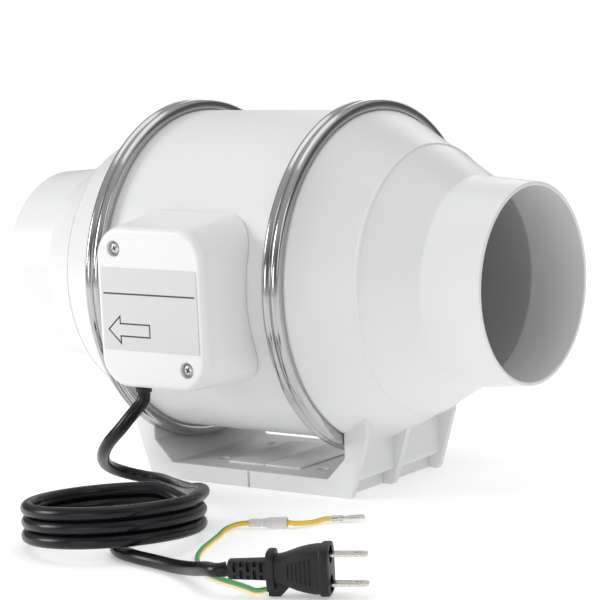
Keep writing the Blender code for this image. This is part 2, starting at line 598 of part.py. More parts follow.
GLAND_TOP = BOX_MIDDLE_Z - 24.0
GLAND_END = 57.5
turned("cord_gland", [(GLAND_TOP, 0.0), (GLAND_TOP, 6.4), (GLAND_TOP - 9.0, 6.4), (GLAND_TOP - 9.6, 4.9),
                      (62.0, 4.6), (GLAND_END, 3.9), (GLAND_END, 0.0)], BLACK, 16,
       middle=(exit_x, exit_y, 0.0), along="Z")
tube("power_cord_tail", [(exit_x, exit_y, GLAND_TOP + GAP), (exit_x, exit_y, GLAND_TOP + 8),
                         (exit_x + 0.5, exit_y, 93.0), (exit_x + 1.5, exit_y, 99.0)], CORD, BLACK, 4.0)

coil_lift = CORD + 4 * GAP  # height of the coil's raised side, over the cord that passes below it
inner, outer = COIL_TURN_RADIUS - CORD / 2, COIL_TURN_RADIUS + CORD / 2
coil_tilt = atan2(coil_lift, 2 * outer)


def on_coil(angle, radius, level):
    """A point of the tilted coil, at an angle in plan, a radius and a height above the coil's underside."""
    lift = radius * cos(angle - COIL_RAISED_SIDE) * sin(coil_tilt)
    return (COIL_MIDDLE[0] + radius * cos(angle), COIL_MIDDLE[1] + radius * sin(angle),
            outer * sin(coil_tilt) + 0.1 + lift + level)


DROP_ROUTE = [
    (exit_x, exit_y, GLAND_END - GAP), (exit_x, exit_y, 55.0), (-20.0, -96.0, 52.2),
    (-22.4, -98.2, 48.8), (-25.8, -100.8, 44.0), (-30.4, -102.0, 38.8), (-37.4, -101.2, 33.0),
    (-45.8, -96.6, 26.4), (-55.2, -87.2, 19.4), (-62.6, -75.4, 12.8), (-64.2, -63.6, 7.4), (-57.2, -56.8, 4.2),
    (-44.6, -56.8, 3.6), (-29.4, -64.6, 4.2), (-12.4, -78.4, 7.2), (2.5, -92.0, 10.6), (15.5, -104.0, 13.8),
    (28.0, -114.8, 17.4),
    on_coil(radians(54), COIL_TURN_RADIUS + 3.4, 2.5 * CORD + 2 * GAP),
    on_coil(radians(38), COIL_TURN_RADIUS + 1.0, 2.5 * CORD + 2 * GAP),
    on_coil(TOP_TURN_START + radians(3), COIL_TURN_RADIUS, 2.5 * CORD + 2 * GAP)]
tube("power_cord_drop", DROP_ROUTE, CORD, BLACK, 9.0)


def coil_band(name, low, high, facets=None):
    """Turns of the cord as a ring with bevelled outer edges, between two heights."""
    loop = [(low, inner), (low, outer - 1), (low + 1, outer), (high - 1, outer), (high, outer - 1), (high, inner)]
    return turned(name, loop, BLACK, COIL_FACETS, facets, (0.0, 0.0, 0.0), "Z")


coil = coil_band("power_cord_coil", 0.0, 2 * CORD)
top_turn = coil_band("top_turn", 2 * CORD - 1.5, 3 * CORD, TOP_TURN_FACETS)
top_turn.data.transform(Matrix.Rotation(TOP_TURN_START - 2 * pi * TOP_TURN_FACETS / COIL_FACETS, 4, "Z"))
unite(coil, top_turn)
raised = Vector((cos(COIL_RAISED_SIDE), sin(COIL_RAISED_SIDE), 0))
coil.data.transform(Matrix.Rotation(coil_tilt, 4, raised.cross(Vector((0, 0, 1)))))
coil.location = (COIL_MIDDLE[0] * MM, COIL_MIDDLE[1] * MM, (outer * sin(coil_tilt) + 0.1) * MM)

ahead = Vector((cos(PLUG_HEADING), sin(PLUG_HEADING), 0))
across = Vector((-sin(PLUG_HEADING), cos(PLUG_HEADING), 0))
start = Vector(PLUG_START)


def on_plug(along, side=0.0, up=0.0):
    return start + ahead * along + across * side + Vector((0, 0, up))


LEAD_ROUTE = [
    (-18.0, -152.0, 3.4), (-11.0, -141.5, 3.4), (2.0, -136.5, 3.4), (14.5, -140.5, 3.4), (21.5, -151.0, 3.4),
    (23.5, -163.5, 3.4), (27.5, -174.5, 3.4), (36.5, -182.2, 3.4), (49.5, -186.6, 3.4), (63.0, -189.2, 3.4),
    (77.0, -193.0, 3.8), (89.6, -198.6, 5.6), (100.8, -205.2, 8.2), (109.8, -210.2, 10.4),
    tuple(on_plug(-5, -0.3, -0.7)), tuple(on_plug(-2 * GAP))]
tube("power_cord_lead", LEAD_ROUTE, CORD, BLACK, 8.0)


def plug_body():
    """Strain relief, flange with the earth lead's boss, and a body that flares to the rim."""
    shape = bmesh.new()
    stations = [  # distance along, half height, half width
        (0.0, 4.3, 4.3), (17.0, 4.7, 4.7), (17.0, 8.4, 6.2), (20.4, 8.4, 6.2), (20.4, 6.4, 5.6), (24.5, 7.1, 6.0),
        (31.0, 9.2, 7.4), (36.5, 10.2, 8.3), (40.0, 10.4, 8.5), (40.0, 11.0, 9.0), (44.0, 11.0, 9.0)]
    rows = []
    for along, half_height, half_width in stations:
        row = []
        for i in range(16):
            turn = 2 * pi * i / 16
            c, s = cos(turn), sin(turn)
            bulge = (abs(c) ** 3.2 + abs(s) ** 3.2) ** (-1 / 3.2)
            row.append(shape.verts.new(on_plug(along, half_width * bulge * c, half_height * bulge * s)))
        rows.append(row)
    for a, b in zip(rows, rows[1:]):
        for i in range(16):
            j = (i + 1) % 16
            shape.faces.new((a[i], a[j], b[j], b[i]))
    shape.faces.new(list(reversed(rows[0])))
    shape.faces.new(rows[-1])
    body = finish("plug_body", shape, BLACK)
    wedge = bmesh.new()
    outline = [(17.0, -5.0), (17.0, -11.5), (22.4, -11.5), (27.6, -6.2), (27.6, -5.0)]
    face = wedge.faces.new([wedge.verts.new(on_plug(a, -2.6, b)) for a, b in outline])
    pulled = bmesh.ops.extrude_face_region(wedge, geom=[face])["geom"]
    bmesh.ops.translate(wedge, verts=[g for g in pulled if isinstance(g, bmesh.types.BMVert)], vec=across * 5.2)
    unite(body, finish("boss", wedge, None))
    spots = (-BLADE_SPACING / 2, BLADE_SPACING / 2)
    cut(body, *[rod("blade_hole", on_plug(40.0, 0, up), on_plug(50.0, 0, up), 4.0, sides=12) for up in spots])
    return body


plug_body()
for number, up in enumerate((-BLADE_SPACING / 2, BLADE_SPACING / 2), 1):
    shape = bmesh.new()
    outline = [(40.3, -3.1), (57.6, -3.1), (60.0, -1.6), (60.0, 1.6), (57.6, 3.1), (40.3, 3.1)]
    face = shape.faces.new([shape.verts.new(on_plug(a, b, up - 0.75)) for a, b in outline])
    pulled = bmesh.ops.extrude_face_region(shape, geom=[face])["geom"]
    bmesh.ops.translate(shape, verts=[g for g in pulled if isinstance(g, bmesh.types.BMVert)], vec=(0, 0, 1.5))
    prong = finish(f"plug_blade_{number}", shape, NICKEL)
    cut(prong, rod("eye", on_plug(55.6, 0, up - 5), on_plug(55.6, 0, up + 5), 1.5, sides=10))

sleeve_start = Vector((54.5, -110.6, 2.8))
sleeve_way = Vector((0.89, 0.455, 0.0)).normalized()
EARTH_ROUTE = [
    tuple(on_plug(17.0 - 2 * GAP, 0, -8.9)), tuple(on_plug(11.0, 1.6, -10.0)), (124.0, -201.0, 1.6),
    (114.0, -197.2, 1.4), (102.5, -193.6, 1.4), (91.0, -187.8, 1.4), (80.0, -179.4, 1.4), (70.5, -169.0, 1.4),
    (63.4, -157.0, 1.4), (58.0, -144.0, 1.4), (53.0, -131.0, 1.4), (48.6, -120.4, 1.5),
    tuple(sleeve_start - sleeve_way * 5.0 + Vector((0, 0, -0.6))), tuple(sleeve_start)]
tube("earth_lead", EARTH_ROUTE, WIRE, GREEN, 6.0)
sleeve = rod("earth_sleeve", sleeve_start + sleeve_way * GAP, sleeve_start + sleeve_way * 9.5, 2.0, SLEEVE, 12)
unite(sleeve, rod("wide", sleeve_start + sleeve_way * 8.5, sleeve_start + sleeve_way * 18.5, 2.65, sides=12))
wire_end = sleeve_start + sleeve_way * (18.5 + GAP)
fork_start = Vector((83.0, -84.0, 1.9))
fork_way = Vector((0.75, 0.66, 0.0)).normalized()
fork_side = Vector((-fork_way.y, fork_way.x, 0.0))
EARTH_END_ROUTE = [tuple(wire_end), tuple(wire_end + sleeve_way * 4 + Vector((0, 0, -0.5))), (78.6, -92.6, 1.6),
                   tuple(fork_start - fork_way * 3), tuple(fork_start)]
tube("earth_lead_end", EARTH_END_ROUTE, WIRE, GREEN, 5.0)
fork = rod("fork_terminal", fork_start + fork_way * GAP, fork_start + fork_way * 6.0, 1.5, NICKEL, 10)
shape = bmesh.new()
outline = [(5.0, -1.6), (8.0, -2.9), (15.5, -3.1), (16.2, -2.4), (15.8, -1.6), (9.6, -1.5), (9.6, 1.5), (15.8, 1.6),
           (16.2, 2.4), (15.5, 3.1), (8.0, 2.9), (5.0, 1.6)]
face = shape.faces.new([shape.verts.new(fork_start + fork_way * a + fork_side * b + Vector((0, 0, -0.4)))
                        for a, b in outline])
pulled = bmesh.ops.extrude_face_region(shape, geom=[face])["geom"]
bmesh.ops.translate(shape, verts=[g for g in pulled if isinstance(g, bmesh.types.BMVert)], vec=(0, 0, 0.8))
unite(fork, finish("tongue", shape, None))
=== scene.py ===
"""Looks of the inline duct fan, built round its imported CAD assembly.

Sizes are in millimetres, in the assembly's own frame: +X along the duct towards the inlet, +Z up and -Y
towards the terminal box. They become metres when a mesh is made.
"""

import json
from math import atan2, cos, pi, radians, sin, tan

import bmesh
import bpy
import numpy as np
from mathutils import Matrix, Vector


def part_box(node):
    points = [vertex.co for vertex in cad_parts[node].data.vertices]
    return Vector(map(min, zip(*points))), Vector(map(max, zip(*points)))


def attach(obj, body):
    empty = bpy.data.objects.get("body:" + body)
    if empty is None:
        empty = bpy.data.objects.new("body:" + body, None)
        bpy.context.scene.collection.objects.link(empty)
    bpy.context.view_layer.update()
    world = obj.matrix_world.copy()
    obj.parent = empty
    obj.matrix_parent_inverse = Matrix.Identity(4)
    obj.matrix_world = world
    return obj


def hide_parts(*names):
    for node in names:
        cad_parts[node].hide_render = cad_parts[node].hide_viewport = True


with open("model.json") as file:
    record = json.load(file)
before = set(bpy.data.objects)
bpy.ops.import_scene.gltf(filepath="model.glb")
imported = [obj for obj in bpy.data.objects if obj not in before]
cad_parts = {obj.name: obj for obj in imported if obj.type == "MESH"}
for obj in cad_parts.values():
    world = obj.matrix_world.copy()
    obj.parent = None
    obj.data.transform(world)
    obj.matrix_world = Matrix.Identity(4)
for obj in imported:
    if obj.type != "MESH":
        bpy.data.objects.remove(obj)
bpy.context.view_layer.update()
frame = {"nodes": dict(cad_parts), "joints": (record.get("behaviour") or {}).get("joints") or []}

MM = 0.001
AXIS_HEIGHT = frame["joints"][0]["pos_m"][2] / MM


def span(node):
    """A CAD node's lowest and highest corner, in millimetres."""
    low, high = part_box(node)
    return low / MM, high / MM


END_X = span("inlet_end")[1].x
FLANGE_RADIUS = span("motor_casing")[1].z - AXIS_HEIGHT
CASING_END = span("motor_casing")[1].x
BAND_RADIUS = span("inlet_clamp_band")[1].z - AXIS_HEIGHT
FLANGE_X = (span("inlet_clamp_band")[0].x + span("inlet_clamp_band")[1].x) / 2
BOX_FACE_Y = span("terminal_cover")[0].y
LABEL_LOW, LABEL_HIGH = span("rating_label")

# Duct body
MOUTH_RADIUS = 49.0
NECK_X = 117.2
NECK_RADIUS = 51.5
BEAD_X = 92.1
BEAD_RADIUS = 65.8
BODY_RADIUS = 82.5
CONE_START_X = 61.2
WALL = 2.4
FLANGE_OUT = 3.1
GASKET_SPACE = 0.9
ROUND_SIDES = 168

# Clamp bands
BAND_HALF = 4.9
BAND_SHEET = 0.8
BAND_FOOT = 83.4
BEAD_RISE = 1.75
CLOSURE = radians(130.5)  # middle of the band's gap, from the top towards +Y
CLOSURE_HALF = radians(4.5)
EAR_FOOT = 85.2
EAR_RADIUS = 99.0
EAR_SHEET = 2.0
BOLT_RING_RADIUS = 93.5
HEAD_FROM, HEAD_TO = -12.4, -8.8  # along the clamp bolt, from the middle of the gap
NUT_FROM, NUT_TO = 8.8, 12.0
BOLT_FROM, BOLT_TO = -12.0, 14.5

# Base
BASE_HALF_DEPTH = 40.3
PLATE_TOP = 8.7
WALL_FOOT_X = 57.6
ARM_X = 74.3
ARM_KNEE_Z = 31.5
WALL_IN_X = 60.7
WALL_OUT_X = 64.8
MOUNT_HOLE = (31.7, 20.2)
RIB = 3.2

# Terminal box
BOX_MIDDLE_Z = AXIS_HEIGHT - 3.4
COVER_SCREWS = ((-20.9, BOX_MIDDLE_Z + 28.6), (20.9, BOX_MIDDLE_Z - 28.6))
COVER_WALL = 2.2
CORD_EXIT = (-19.0, -95.0)
RULE_HALF = 0.4
ARROW_LINE = 0.75

# Rotor and guide vanes
BLADES = 7
VANES = 9

# Cord
CORD = 6.4
WIRE = 2.4
GLAND_END = 57.5
GAP = 0.3
ROUTE_STEP = 3.0
WIRE_STEP = 1.6
COIL_TURN_RADIUS = 40.0
COIL_MIDDLE = (14.0, -160.0)
COIL_RAISED_SIDE = radians(-43)
TOP_TURN_START = 20  # degrees in plan, where the cord has come down onto the coil
PLUG_HEADING = radians(26)
PLUG_START = Vector((122.3, -210.9, 12.0))
BLADE_SPACING = 12.7
SLEEVE_LENGTH = 18.5


# ---- materials

NOISE_LOW, NOISE_HIGH = 0.3, 0.7  # the part of a noise's range that a roughness or a colour spreads over


def new_material(name):
    made = bpy.data.materials.new(name)
    made.use_nodes = True
    nodes = made.node_tree.nodes
    return made, nodes, made.node_tree.links, nodes["Principled BSDF"]


def scaled_place(nodes, links, scale):
    """Object coordinates in metres, stretched by a scale per axis."""
    place = nodes.new("ShaderNodeTexCoord")
    mapping = nodes.new("ShaderNodeMapping")
    mapping.inputs["Scale"].default_value = scale
    links.new(place.outputs["Object"], mapping.inputs["Vector"])
    return mapping.outputs["Vector"]


def noise(nodes, links, scale, detail=2.0, stretch=(1, 1, 1)):
    node = nodes.new("ShaderNodeTexNoise")
    node.inputs["Scale"].default_value = scale
    node.inputs["Detail"].default_value = detail
    links.new(scaled_place(nodes, links, stretch), node.inputs["Vector"])
    return node.outputs["Fac"]


def spread(nodes, links, factor, low, high):
    """A factor mapped to a range of values, for a roughness."""
    node = nodes.new("ShaderNodeMapRange")
    node.inputs["From Min"].default_value = NOISE_LOW
    node.inputs["From Max"].default_value = NOISE_HIGH
    node.inputs["To Min"].default_value = low
    node.inputs["To Max"].default_value = high
    links.new(factor, node.inputs["Value"])
    return node.outputs["Result"]


def blended(nodes, links, factor, first, second):
    ramp = nodes.new("ShaderNodeValToRGB")
    for stop, place, colour in zip(ramp.color_ramp.elements, (NOISE_LOW, NOISE_HIGH), (first, second)):
        stop.position = place
        stop.color = (*colour, 1)
    links.new(factor, ramp.inputs["Fac"])
    return ramp.outputs["Color"]


def bump(nodes, links, height, distance, strength, shader):
    node = nodes.new("ShaderNodeBump")
    node.inputs["Distance"].default_value = distance
    node.inputs["Strength"].default_value = strength
    links.new(height, node.inputs["Height"])
    links.new(node.outputs["Normal"], shader.inputs["Normal"])


def plastic(name, colour, second, roughness, grain, depth, strength, specular=0.5):
    """Moulded plastic: a fine grain, faint flow marks in the colour and an uneven gloss."""
    made, nodes, links, shader = new_material(name)
    flow = noise(nodes, links, 14.0, 3.0)
    links.new(blended(nodes, links, flow, colour, second), shader.inputs["Base Color"])
    patches = noise(nodes, links, 55.0, 4.0)
    links.new(spread(nodes, links, patches, *roughness), shader.inputs["Roughness"])
    shader.inputs["Specular IOR Level"].default_value = specular
    bump(nodes, links, noise(nodes, links, grain, 2.0), depth, strength, shader)
    return made


def metal(name, colour, second, roughness, lines=None, strength=0.15):
    """Metal with rubbing marks, drawn out into lines where the scale differs between the axes."""
    made, nodes, links, shader = new_material(name)
    shader.inputs["Metallic"].default_value = 1.0
    marks = noise(nodes, links, 1.0, 3.0, lines or (700, 700, 700))
    links.new(blended(nodes, links, marks, colour, second), shader.inputs["Base Color"])
    links.new(spread(nodes, links, marks, *roughness), shader.inputs["Roughness"])
    bump(nodes, links, marks, 0.00003, strength, shader)
    return made


WHITE = plastic("white_plastic", (0.815, 0.817, 0.82), (0.79, 0.795, 0.80), (0.30, 0.40), 1100, 0.00002,
                0.15)
COVER = plastic("cover_plastic", (0.87, 0.87, 0.87), (0.86, 0.86, 0.86), (0.28, 0.36), 1400, 0.00002, 0.12)
INSIDE = plastic("impeller_plastic", (0.74, 0.74, 0.74), (0.70, 0.70, 0.705), (0.36, 0.46), 900, 0.00003,
                 0.25)
STEEL = metal("polished_steel", (0.54, 0.54, 0.53), (0.42, 0.42, 0.42), (0.10, 0.20), (2600, 26, 26), 0.2)
ZINC = metal("zinc_plated_steel", (0.70, 0.69, 0.66), (0.55, 0.55, 0.55), (0.22, 0.42))
LAMINATION = metal("lamination_steel", (0.33, 0.33, 0.34), (0.22, 0.22, 0.23), (0.4, 0.6), (2000, 60, 60))
COPPER = metal("winding_copper", (0.62, 0.26, 0.11), (0.45, 0.16, 0.07), (0.3, 0.5), (1400, 200, 200), 0.6)
SEAL = plastic("seal_rubber", (0.05, 0.05, 0.05), (0.035, 0.035, 0.035), (0.7, 0.9), 1200, 0.00006, 0.5)
LABEL = plastic("label_film", (0.70, 0.70, 0.705), (0.68, 0.68, 0.685), (0.38, 0.48), 2500, 0.00001, 0.1)
INK = plastic("label_ink", (0.035, 0.035, 0.037), (0.05, 0.05, 0.052), (0.4, 0.5), 2500, 0.00001, 0.1)
CORD_BLACK = plastic("cord_pvc", (0.004, 0.004, 0.006), (0.006, 0.006, 0.009), (0.24, 0.32), 1300, 0.00002,
                     0.15, 0.3)
PLUG_BLACK = plastic("plug_pvc", (0.007, 0.007, 0.008), (0.011, 0.011, 0.012), (0.42, 0.56), 2200, 0.00006,
                     0.5, 0.4)
GLAND_BLACK = plastic("gland_rubber", (0.012, 0.012, 0.012), (0.02, 0.02, 0.02), (0.55, 0.7), 1600, 0.00005,
                      0.5)
GREEN = plastic("earth_green", (0.10, 0.40, 0.12), (0.13, 0.47, 0.16), (0.32, 0.44), 1600, 0.00002, 0.25)
YELLOW = plastic("earth_yellow", (0.90, 0.55, 0.06), (0.93, 0.62, 0.10), (0.32, 0.44), 1600, 0.00002, 0.25)
NICKEL = metal("nickel_plate", (0.72, 0.69, 0.63), (0.60, 0.57, 0.52), (0.14, 0.30), (900, 900, 900), 0.15)
BEIGE = plastic("beige_moulding", (0.62, 0.57, 0.46), (0.57, 0.52, 0.42), (0.45, 0.6), 1100, 0.00004, 0.4)


def clear_sleeve():
    """Milky soft plastic that lets the wire inside show."""
    made, nodes, links, shader = new_material("clear_sleeve")
    cloud = noise(nodes, links, 260.0, 2.0)
    links.new(blended(nodes, links, cloud, (0.95, 0.94, 0.93), (0.90, 0.88, 0.88)),
              shader.inputs["Base Color"])
    links.new(spread(nodes, links, cloud, 0.22, 0.36), shader.inputs["Roughness"])
    shader.inputs["Transmission Weight"].default_value = 0.30
    shader.inputs["IOR"].default_value = 1.38
    bump(nodes, links, noise(nodes, links, 900.0, 2.0), 0.00003, 0.3, shader)
    return made


CLEAR = clear_sleeve()

SLOT_PAINT = {
    "white_plastic": WHITE, "polished_steel": STEEL, "zinc_plated_steel": ZINC,
    "lamination_steel": LAMINATION,
    "winding_copper": COPPER, "seal_rubber": SEAL, "label_film": LABEL, "black_pvc": CORD_BLACK,
    "earth_wire": GREEN, "clear_sleeve": CLEAR, "nickel_plate": NICKEL, "beige_moulding": BEIGE,
}


# ---- making meshes

SHARP = 32  # degrees between faces, from which an edge shows as an edge


def solid(name, shape, paint=None, angle=SHARP):
    """A bmesh in millimetres becomes a named object in metres, with its faces pointing out."""
    bmesh.ops.remove_doubles(shape, verts=shape.verts, dist=1e-4)
    bmesh.ops.recalc_face_normals(shape, faces=shape.faces)
    bmesh.ops.scale(shape, vec=(MM, MM, MM), verts=shape.verts)
    mesh = bpy.data.meshes.new(name)
    shape.to_mesh(mesh)
    shape.free()
    mesh.shade_smooth()
    mesh.set_sharp_from_angle(angle=radians(angle))
    made = bpy.data.objects.new(name, mesh)
    bpy.context.scene.collection.objects.link(made)
    if paint is not None:
        mesh.materials.append(paint)
    return made


def piece(made, slot, *stands_for, body="duct", paint=None):
    """Paints a finished object if a paint is given, puts it on its body and hides the CAD nodes that it
    stands for; the slot is not used.
    """
    if paint:
        made.data.materials.clear()
        made.data.materials.append(paint)
    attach(made, body)
    if stands_for:
        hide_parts(*stands_for)
    return made


def stand(made, start, way):
    """Moves an object made along +Z so that it starts at a point and runs along a direction."""
    turn = Vector((0, 0, 1)).rotation_difference(Vector(way)).to_matrix().to_4x4()
    made.data.transform(Matrix.Translation(Vector(start) * MM) @ turn)


def axes(first, second, third, origin):
    """The matrix with three directions as its axes and a point as its origin."""
    made = Matrix((first, second, third)).transposed().to_4x4()
    made.translation = origin
    return made


def combine(target, others, operation):
    for other in others:
        change = target.modifiers.new(operation.lower(), "BOOLEAN")
        change.operation = operation
        change.solver = "EXACT"
        change.object = other
    bpy.context.view_layer.update()
    seen = target.evaluated_get(bpy.context.evaluated_depsgraph_get())
    mesh = bpy.data.meshes.new_from_object(seen)
    target.modifiers.clear()
    target.data = mesh
    mesh.shade_smooth()
    mesh.set_sharp_from_angle(angle=radians(SHARP))
    for other in others:
        bpy.data.objects.remove(other, do_unlink=True)
    return target


def cut(target, *others):
    return combine(target, others, "DIFFERENCE")


def unite(target, *others):
    return combine(target, others, "UNION")


STRAIGHT = radians(178)  # a corner that is opener than this isn't rounded
FILLET_STEPS = 5


def filleted(corners):
    """A closed outline whose corners (a, b, radius) are rounded; a corner without a radius stays sharp."""
    points = []
    count = len(corners)
    for i, corner in enumerate(corners):
        here = Vector(corner[:2])
        radius = corner[2] if len(corner) > 2 else 0.0
        before, after = Vector(corners[i - 1][:2]), Vector(corners[(i + 1) % count][:2])
        back, on = before - here, after - here
        plain = radius <= 0 or back.length < 1e-6 or on.length < 1e-6
        opening = pi if plain else back.angle(on)
        if opening > STRAIGHT:
            points.append(tuple(here))
            continue
        reach = min(radius / tan(opening / 2), 0.49 * back.length, 0.49 * on.length)
        start, end = here + back.normalized() * reach, here + on.normalized() * reach
        for k in range(FILLET_STEPS + 1):
            t = k / FILLET_STEPS
            points.append(tuple(start * (1 - t) ** 2 + here * 2 * t * (1 - t) + end * t * t))
    return points


def mirror_x(corners):
    return [(-corner[0], *corner[1:]) for corner in corners]


def turned(name, loop, paint=None, sides=ROUND_SIDES, first=0.0, sweep=2 * pi, middle=None, along="X"):
    """A closed (along, radius, fillet) loop spun round an axis; a partial sweep gets end faces."""
    outline = filleted(loop)
    shape = bmesh.new()
    whole = sweep > 2 * pi - 1e-6
    count = sides if whole else sides + 1
    base = Vector(middle if middle is not None else (0.0, 0.0, AXIS_HEIGHT))
    rows = []
    poles = {i: None for i, (_, r) in enumerate(outline) if r < 1e-6}
    for k in range(count):
        angle = first + sweep * k / sides
        row = []
        for i, (a, r) in enumerate(outline):
            if i in poles and poles[i] is not None:
                row.append(poles[i])
                continue
            if along == "X":
                spot = Vector((a, r * sin(angle), r * cos(angle)))
            else:
                spot = Vector((r * cos(angle), r * sin(angle), a))
            vert = shape.verts.new(base + spot)
            if i in poles:
                poles[i] = vert
            row.append(vert)
        rows.append(row)
    if whole:
        rows.append(rows[0])
    size = len(outline)
    for one, two in zip(rows, rows[1:]):
        for i in range(size):
            j = (i + 1) % size
            corners = []
            for vert in (one[i], one[j], two[j], two[i]):
                if vert not in corners:
                    corners.append(vert)
            if len(corners) > 2:
                shape.faces.new(corners)
    if not whole:
        shape.faces.new(rows[0])
        shape.faces.new(list(reversed(rows[-1])))
    return solid(name, shape, paint)


def skin(shape, rows, capped=True):
    """Faces between closed rows of vertices, and one over each end."""
    for one, two in zip(rows, rows[1:]):
        for i in range(len(one)):
            j = (i + 1) % len(one)
            shape.faces.new((one[i], one[j], two[j], two[i]))
    if capped:
        shape.faces.new(list(reversed(rows[0])))
        shape.faces.new(rows[-1])


PLACE = {
    "X": lambda a, b, c: (c, a, b),
    "Y": lambda a, b, c: (a, c, b),
    "Z": lambda a, b, c: (a, b, c),
}


def prism(name, corners, low, high, along, paint=None, edge=0.0):
    """An outline with filleted corners pulled along an axis, with rounded rims at both ends."""
    outline = filleted(corners)
    place = PLACE[along]
    shape = bmesh.new()
    levels = [(low, 0.0), (high, 0.0)]
    if edge:
        rim = [(edge * (1 - sin(radians(q))), edge * (1 - cos(radians(q)))) for q in (0, 30, 60, 90)]
        levels = [(low + d, inset) for inset, d in rim] + [(high - d, inset) for inset, d in reversed(rim)]
    rows = []
    for level, inset in levels:
        ring = shrunk(outline, inset) if inset else outline
        rows.append([shape.verts.new(place(a, b, level)) for a, b in ring])
    skin(shape, rows)
    return solid(name, shape, paint)


def shrunk(outline, distance):
    """The outline moved inwards by a distance, point by point along the bisector of its edges."""
    count = len(outline)
    area = sum(outline[i][0] * outline[(i + 1) % count][1] - outline[(i + 1) % count][0] * outline[i][1]
               for i in range(count))
    side = 1.0 if area > 0 else -1.0
    moved = []
    for i, (a, b) in enumerate(outline):
        here = Vector((a, b))
        back = here - Vector(outline[i - 1])
        on = Vector(outline[(i + 1) % count]) - here
        if back.length < 1e-7 or on.length < 1e-7:
            moved.append((a, b))
            continue
        back.normalize()
        on.normalize()
        first = Vector((-back.y, back.x)) * side
        second = Vector((-on.y, on.x)) * side
        middle = first + second
        middle = middle.normalized() if middle.length > 1e-6 else first
        reach = distance / max(0.4, middle.dot(first))
        moved.append(tuple(here + middle * reach))
    return moved


def block(name, low, high, edge):
    shape = bmesh.new()
    bmesh.ops.create_cube(shape, size=1.0)
    low, high = Vector(low), Vector(high)
    place = Matrix.Translation((low + high) / 2) @ Matrix.Diagonal((*(high - low), 1))
    bmesh.ops.transform(shape, matrix=place, verts=shape.verts)
    if edge:
        bmesh.ops.bevel(shape, geom=shape.edges[:] + shape.verts[:], offset=edge, segments=3, profile=0.5,
                        affect="EDGES")
    return solid(name, shape)


def rod(name, start, end, radius, sides=32, end_radius=None):
    """A straight round bar between two points."""
    start = Vector(start)
    line = Vector(end) - start
    turn = Vector((0, 0, 1)).rotation_difference(line).to_matrix().to_4x4()
    last = radius if end_radius is None else end_radius
    shape = bmesh.new()
    rows = [[shape.verts.new((r * cos(2 * pi * k / sides), r * sin(2 * pi * k / sides), a))
             for k in range(sides)]
            for a, r in ((0.0, radius), (line.length, last))]
    skin(shape, rows)
    bmesh.ops.transform(shape, matrix=Matrix.Translation(start) @ turn, verts=shape.verts)
    return solid(name, shape)


# ---- camera, light and floor

CAMERA_LENS = 149.8
CAMERA_PLACE = Vector((0.7701, -1.0092, 0.2744))
CAMERA_TURNS = (radians(37.07), radians(8.27), radians(-2.84))
FLOOR_RADIUS = 1250.0
FLOOR_GLOW = 0.34
FLOOR_DROP = 0.0002


def softbox(name, place, aim, size, power):
    data = bpy.data.lights.new(name, "AREA")
    data.shape = "RECTANGLE"
    data.size, data.size_y = size
    data.energy = power
    lamp = bpy.data.objects.new(name, data)
    lamp.location = place
    lamp.rotation_euler = (Vector(aim) - Vector(place)).to_track_quat("-Z", "Y").to_euler()
    bpy.context.scene.collection.objects.link(lamp)


